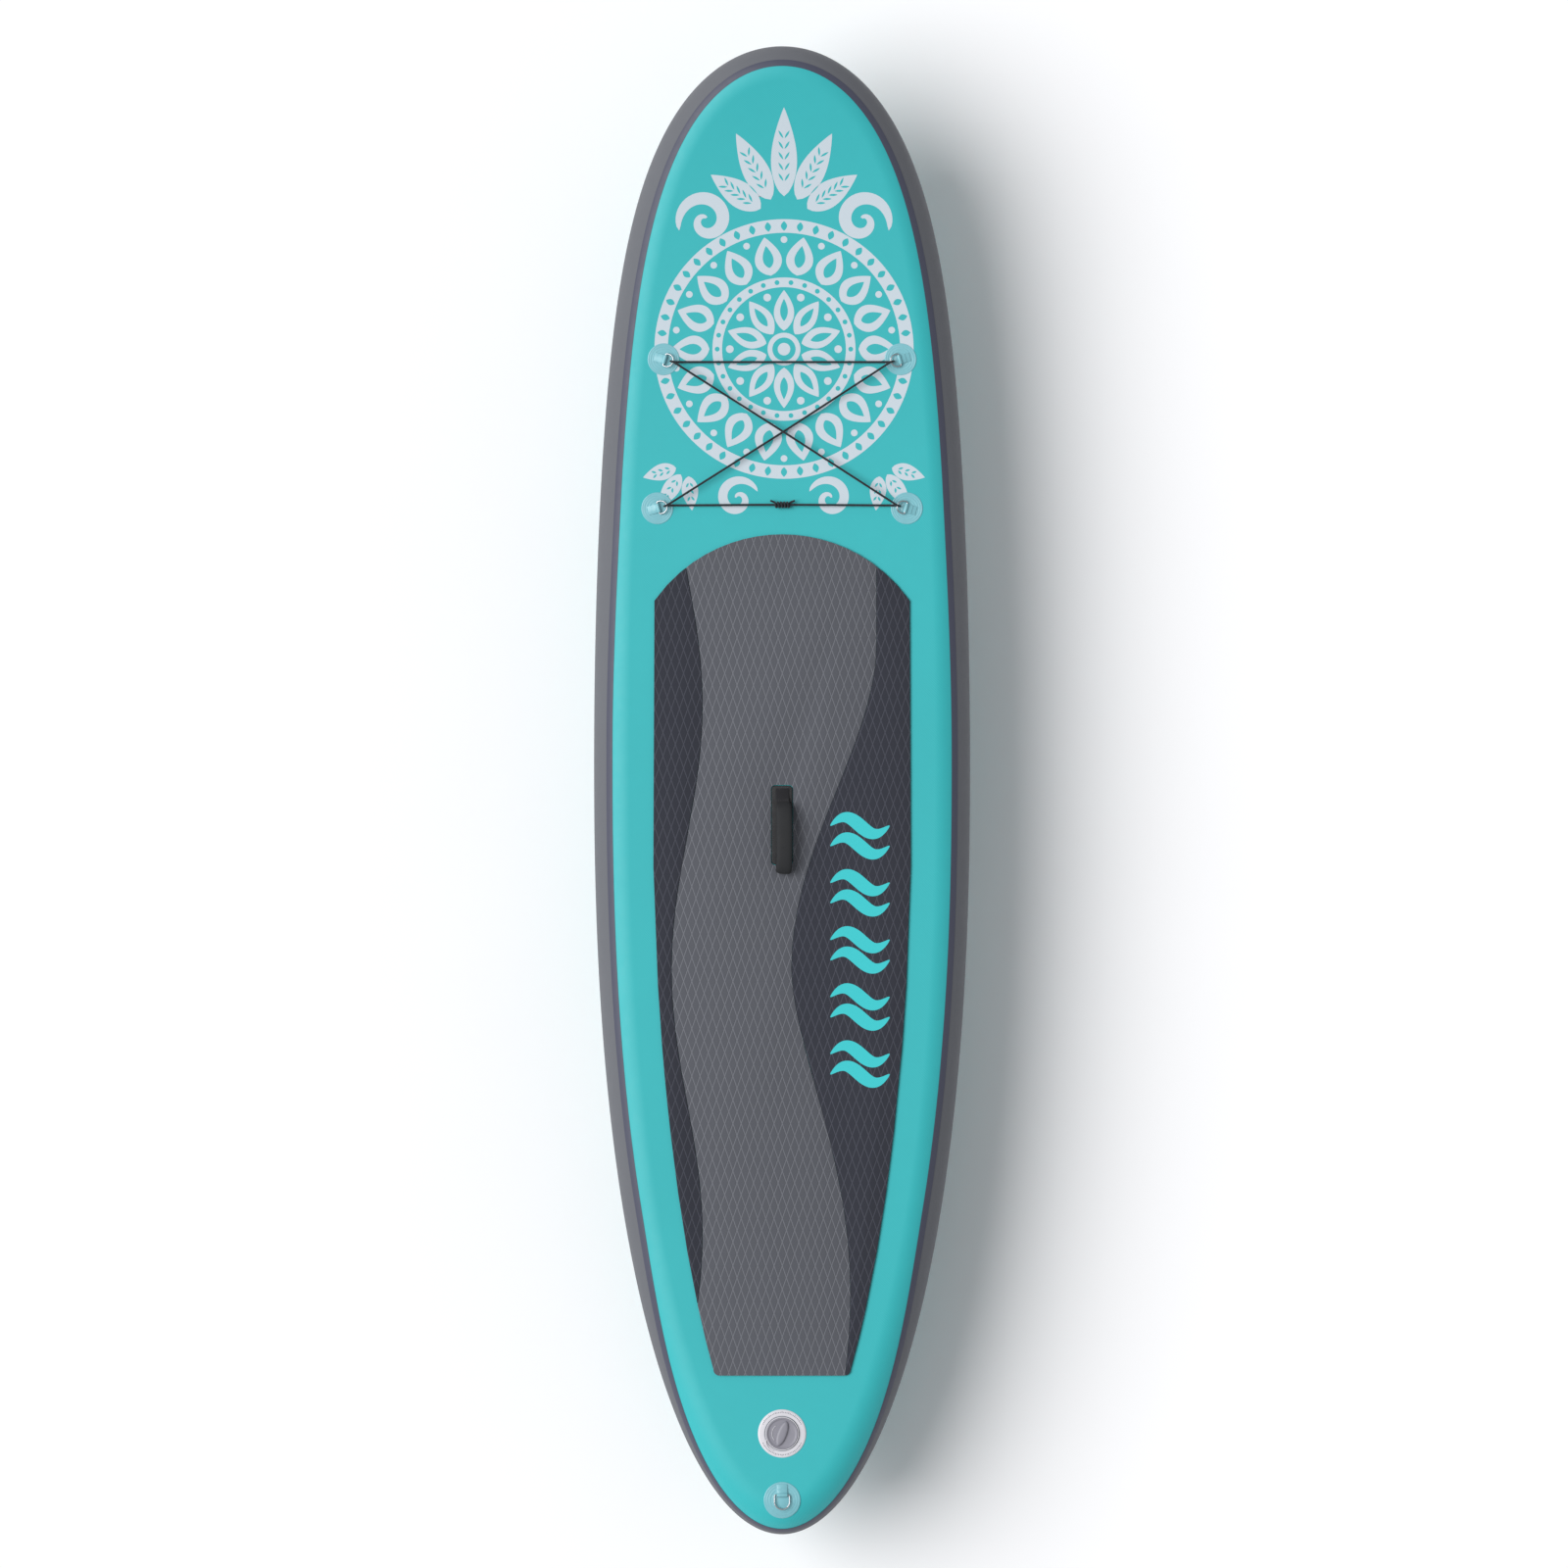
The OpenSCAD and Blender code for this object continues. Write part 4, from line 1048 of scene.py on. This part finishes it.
def welded_patch(name, node, at, pull, cross, up, radius, drop=None):
    """Round patch with shallow weld rings pressed into it and a thin edge."""
    profile = []
    for mark in (0.42, 0.58, 0.74, 0.88):
        profile += [(mark * radius + k * 0.7 * MM, 0.72 if k == 0 else 1.0) for k in (-1, 0, 1)]
    profile += [(radius - 1.6 * MM, 1.0), (radius - 0.5 * MM, 0.8), (radius, 0.25), (radius, 0.0)]
    steps = 96
    rings = []
    for r, z in profile:
        row = []
        for c, s in circle_steps(steps):
            p = at + pull * r * c + cross * r * s + up * z * MM
            if drop:
                p.z += drop(p.x, p.y)
            row.append(p)
        rings.append(row)
    verts, faces = rows_of(rings)
    faces.append(tuple(range(steps - 1, -1, -1)))
    faces.append(tuple((len(rings) - 1) * steps + k for k in range(steps)))
    return make(name, (verts, faces), M_FILM, "board", (node,), 60)


def build_rings():
    for key in RING_PULL:
        at, pull, cross, up = ring_frame(key)
        welded_patch("ring_patch_look_" + key, "ring_patch_" + key, at, pull, cross, up, PATCH_R)
        softened("ring_tab_" + key, M_FILM, 0.35 * MM, 2, 40)
        dress("ring_" + key, M_STEEL)
    dress("leash_ring", M_STEEL)
    softened("leash_tab", M_FILM, 0.35 * MM, 2, 40)
    low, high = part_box("leash_patch")
    at = Vector((0, (low.y + high.y) / 2, 0.38 * MM))
    radius = (high.x - low.x) / 2
    welded_patch("leash_patch_look", "leash_patch", at, X_AXIS, Y_AXIS, Z_AXIS, radius, tail_skin)


def tail_skin(x, y):
    """Height of the deck skin where it rolls over the rail at the tail."""
    v = max(0.01, 1 - (x / HALF_W) ** 2)
    edge_y = WIDE_AT - LEN_TAIL * v ** (1 / 2.3)
    fall = LEN_TAIL * v ** (1 / 2.3 - 1) * 2 * x / (2.3 * HALF_W ** 2)
    inset = min(EDGE_R, max(MM, (y - edge_y) / math.sqrt(1 + fall * fall)))
    return EDGE_R + math.sqrt(EDGE_R ** 2 - (EDGE_R - inset) ** 2)


build_rings()

BUNGEE_R = 2.25 * MM
TURN_R = 5.95
RING_TILT = math.radians(14)
TIP_U = 2 + 19 * math.cos(RING_TILT)
TIP_H = 5 + 19 * math.sin(RING_TILT)


def cord_turn(key, sign):
    """The cord's turn round a ring's wire, from over it to under it."""
    at = ring_frame(key)[0]
    out = []
    for i in range(17):
        a = math.radians(sign * (90 - 11.25 * i))
        p = polar(at, RING_PULL[key], TIP_U + 0.6 - TURN_R * math.cos(a), TIP_H + 0.65 + TURN_R * math.sin(a))
        p.z += rise_slope(at.y) * (p.y - at.y)
        out.append(p)
    return out


def build_bungee():
    """The cord laced through the four rings as one loop, and the knot that closes it."""
    front, rear = centre("ring_patch_port_front").y, centre("ring_patch_port_rear").y
    mid = (front + rear) / 2
    line, level = rear + 7 * MM, DECK + 8 * MM
    path = [Vector((0, line, level)), Vector((50 * MM, line, level))]
    path += cord_turn("starboard_rear", -1)
    path += [Vector((4 * MM, mid + 3 * MM, DECK + 14.5 * MM))]
    path += cord_turn("port_front", 1)
    path += [Vector((0, front - 6 * MM, DECK + rise(front) + 8.5 * MM))]
    path += cord_turn("starboard_front", -1)
    path += [Vector((4 * MM, mid + 5 * MM, DECK + 8.2 * MM))]
    path += cord_turn("port_rear", 1)
    path += [Vector((-50 * MM, line, level))]
    shape = swept(path, round_section(BUNGEE_R, 16), Y_AXIS, closed=True)
    make("bungee_cord_look", shape, M_CORD, "board", ("bungee_cord",), 70)
    coil = 2 * BUNGEE_R + 0.5 * MM
    knot = []
    for i in range(121):
        a = math.radians(15 * i)
        turn = Vector((0, coil * math.cos(a), coil * math.sin(a)))
        knot.append(Vector(((-15 + 32 * i / 120) * MM, line, level)) + turn)
    first, last = knot[0], knot[-1]
    start = [first + Vector((-3 * k, 1.2 * k, 0.9 * k)) * MM for k in (3, 2, 1)]
    end = [last + Vector((3 * k, 1.2 * k, 0.9 * k)) * MM for k in (1, 2, 3)]
    shape = swept(start + knot + end, round_section(BUNGEE_R * 0.97, 12), Vector((1, 0.12, 0.3)))
    make("bungee_knot_look", shape, M_CORD, "board", ("bungee_knot",), 70)


build_bungee()


# ---- fins, boxes, locks ----

# toe-in of each fin box, in degrees
TOE_IN = {"centre": 0.0, "port": -3.5, "starboard": 3.5}
BOX_H = 12 * MM
# in mm: front end of a box's slot, half its width, and the gap round what slides in it
SLOT_END = 212 / 2 - 22
SLOT_HALF = 12
CLEAR = 0.3


def box_frame(key):
    c = centre("fin_patch_" + key)
    a = math.radians(TOE_IN[key])
    ux = Vector((math.cos(a), math.sin(a), 0))
    return Vector((c.x, c.y, 0)), ux, Vector((-ux.y, ux.x, 0))


def patch_loops(at, ux, uy, w, l, r):
    """Welded patch under a fin box, with two stepped weld lines round it."""
    steps = [(0, 0.0), (0, 0.4), (0.8, 0.75), (9, 0.85), (10, 0.55), (11, 0.85),
             (19, 0.92), (20, 0.62), (21, 0.95), (30, 1.0)]
    rows = []
    for inset, depth in steps:
        k = inset * MM
        rows.append([at + ux * p.x + uy * p.y - Vector((0, 0, (0.05 + depth) * MM))
                     for p in round_rect(w - 2 * k, l - 2 * k, max(4 * MM, r - k * 0.8), 12)])
    return capped(rows)


def bow(t, *points):
    """Cubic through flat control points, as depth and distance back."""
    return bezier(*(Vector(p) for p in points), t)


def fin_front(d, back, t):
    if t < 0.8:
        return bow(t / 0.8, (0, 0), (0.4 * d, 0.19 * back), (0.93 * d, 0.48 * back), (d, back))
    return bow((t - 0.8) / 0.2, (d, back), (d, back + 8), (0.99 * d, back + 16), (0.97 * d, back + 22))


def fin_rear(d, back, c, t):
    if t < 0.15:
        return bow(t / 0.15, (0, c + 16), (2, c + 8), (5, c + 3), (0.1 * d, c))
    if t < 0.8:
        middle = [(0.1 * d, c), (0.5 * d, c - 1), (0.72 * d, back + 2), (0.87 * d, back + 28)]
        return bow((t - 0.15) / 0.65, *middle)
    tip = [(0.87 * d, back + 28), (0.9 * d, back + 33), (0.95 * d, back + 28), (0.97 * d, back + 22.5)]
    return bow((t - 0.8) / 0.2, *tip)


def fin_blade(at, ux, uy, d, back, chord, lead):
    """Swept blade with a foil section that thins towards its tip."""
    rows_n, cols = 80, 20
    rows = []
    for i in range(rows_n + 1):
        t = i / rows_n
        a, b = fin_front(d, back, t), fin_rear(d, back, chord, t)
        row = []
        for j in range(2 * cols):
            c = j / cols if j <= cols else (2 * cols - j) / cols
            p = a + (b - a) * c
            h = (4.2 - 2 * t) * max(0.0, 1 - t ** 6) ** 0.5 * math.sin(math.pi * c ** 0.75) + 0.35
            h *= (1 if j <= cols else -1) if 0 < c < 1 else 0
            row.append(at + (ux * h + uy * (lead - p.y) - Vector((0, 0, p.x))) * MM)
        rows.append(row)
    verts, faces = rows_of(rows)
    return verts, faces + folded_cap(cols, 0) + folded_cap(cols, rows_n * 2 * cols)


def build_fins():
    """Patch, box, blade and lock of each fin."""
    for key in TOE_IN:
        at, ux, uy = box_frame(key)
        middle = key == "centre"
        width, length, corner = (152, 290, 55) if middle else (116, 257, 46)
        patch = patch_loops(at, ux, uy, width * MM, length * MM, corner * MM)
        make("fin_patch_look_" + key, patch, M_FILM, "board", ("fin_patch_" + key,), 60)
        softened("fin_box_" + key, M_BOX, 1.1 * MM, 3, 40)
        softened("fin_lock_" + key, M_BOX, 0.4 * MM, 2, 40)
        depth, back, chord = (200, 163, 134) if middle else (135, 142, 120)
        blade = fin_blade(at - Z_AXIS * (BOX_H + CLEAR * MM), ux, uy, depth, back, chord, SLOT_END - 2)
        half = SLOT_HALF - CLEAR
        runner = block(at, ux, uy, (-half, -64, -8.9), (half, SLOT_END - CLEAR, -4.9))
        neck = block(at, ux, uy, (-3.9, -64, -13.2), (3.9, SLOT_END - 8, -8.4))
        shape = joined(blade, runner, neck)
        make("fin_look_" + key, shape, M_FIN, "fin_" + key, ("fin_" + key,), 40)
        dress("pull_loop_" + key, M_CORD)


build_fins()


def build_label():
    """Plain sticker with a border line and five rows of three blank fields."""
    low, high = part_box("bottom_label")
    softened("bottom_label", M_LABEL, 0.1 * MM, 1)
    cx, cy = centre("bottom_label").xy / MM
    w, l = (high - low).xy / MM
    outlines = []

    def border(x, y, width, length, inset):
        for k in (0, inset):
            corners = round_rect(width - 2 * k, length - 2 * k, 3, 4)
            outlines.append([(x + p.x, y + p.y) for p in corners])

    border(cx, cy, w - 8, l - 8, 1)
    for row in range(5):
        for col in range(3):
            border(cx + (col - 1) * 34, cy + (row - 2) * 29, 26, 20, 1.2)
    level = low.z - 0.02 * MM
    ink("bottom_label_lines", outlines, M_LABEL_GREY, lambda y: level, -1, 0.05 * MM)


build_label()


# ---- stage, light and camera ----

def pale(name, tone):
    """Pale matt floor that shows only from above."""
    g = Graph(name)
    g.colour(g.mix(g.noise(3, 2), shade(tone, 0.985), tone))
    g.fixed(Roughness=0.9, Specular_IOR_Level=0.1)
    clear = g.add("ShaderNodeBsdfTransparent")
    face = g.add("ShaderNodeNewGeometry").outputs["Backfacing"]
    both = g.add("ShaderNodeMixShader")
    for index, socket in enumerate((face, g.shader.outputs[0], clear.outputs[0])):
        g.tree.links.new(socket, both.inputs[index])
    g.tree.links.new(both.outputs[0], g.tree.nodes["Material Output"].inputs["Surface"])
    return g.material


def sun(name, toward, strength, angle):
    data = bpy.data.lights.new(name, "SUN")
    data.energy = strength
    data.angle = math.radians(angle)
    light = bpy.data.objects.new(name, data)
    light.rotation_euler = Vector(toward).to_track_quat("Z", "Y").to_euler()
    bpy.context.scene.collection.objects.link(light)


def build_stage():
    z = CAD_BOX[0][2] - 2 * MM
    half = 60.0
    corners = [(-half, -half, z), (half, -half, z), (half, half, z), (-half, half, z)]
    floor = make("floor", (corners, [(0, 1, 2, 3)]), pale("floor_pale", (0.93, 0.93, 0.94)), None)
    world = bpy.data.worlds.new("soft_studio")
    world.use_nodes = True
    sky = world.node_tree.nodes["Background"]
    sky.inputs["Color"].default_value = (0.97, 0.98, 1.0, 1)
    sky.inputs["Strength"].default_value = 0.43
    bpy.context.scene.world = world
    sun("key", (-0.6, 0.1, 0.74), 2.8, 45)
    bpy.context.scene.view_settings.view_transform = "Standard"


def build_camera():
    """Camera straight over the deck, far away because the photo has hardly any perspective."""
    data = bpy.data.cameras.new("camera")
    data.sensor_width = 36
    # height over the deck, width in view there, and the middle of the view
    away, width, x, y = 24.0, 3.242, 0.004, 0.016
    data.lens = data.sensor_width * away / width
    camera = bpy.data.objects.new("camera", data)
    camera.location = (x, y, DECK + away)
    bpy.context.scene.collection.objects.link(camera)
    bpy.context.scene.camera = camera


build_stage()
build_camera()
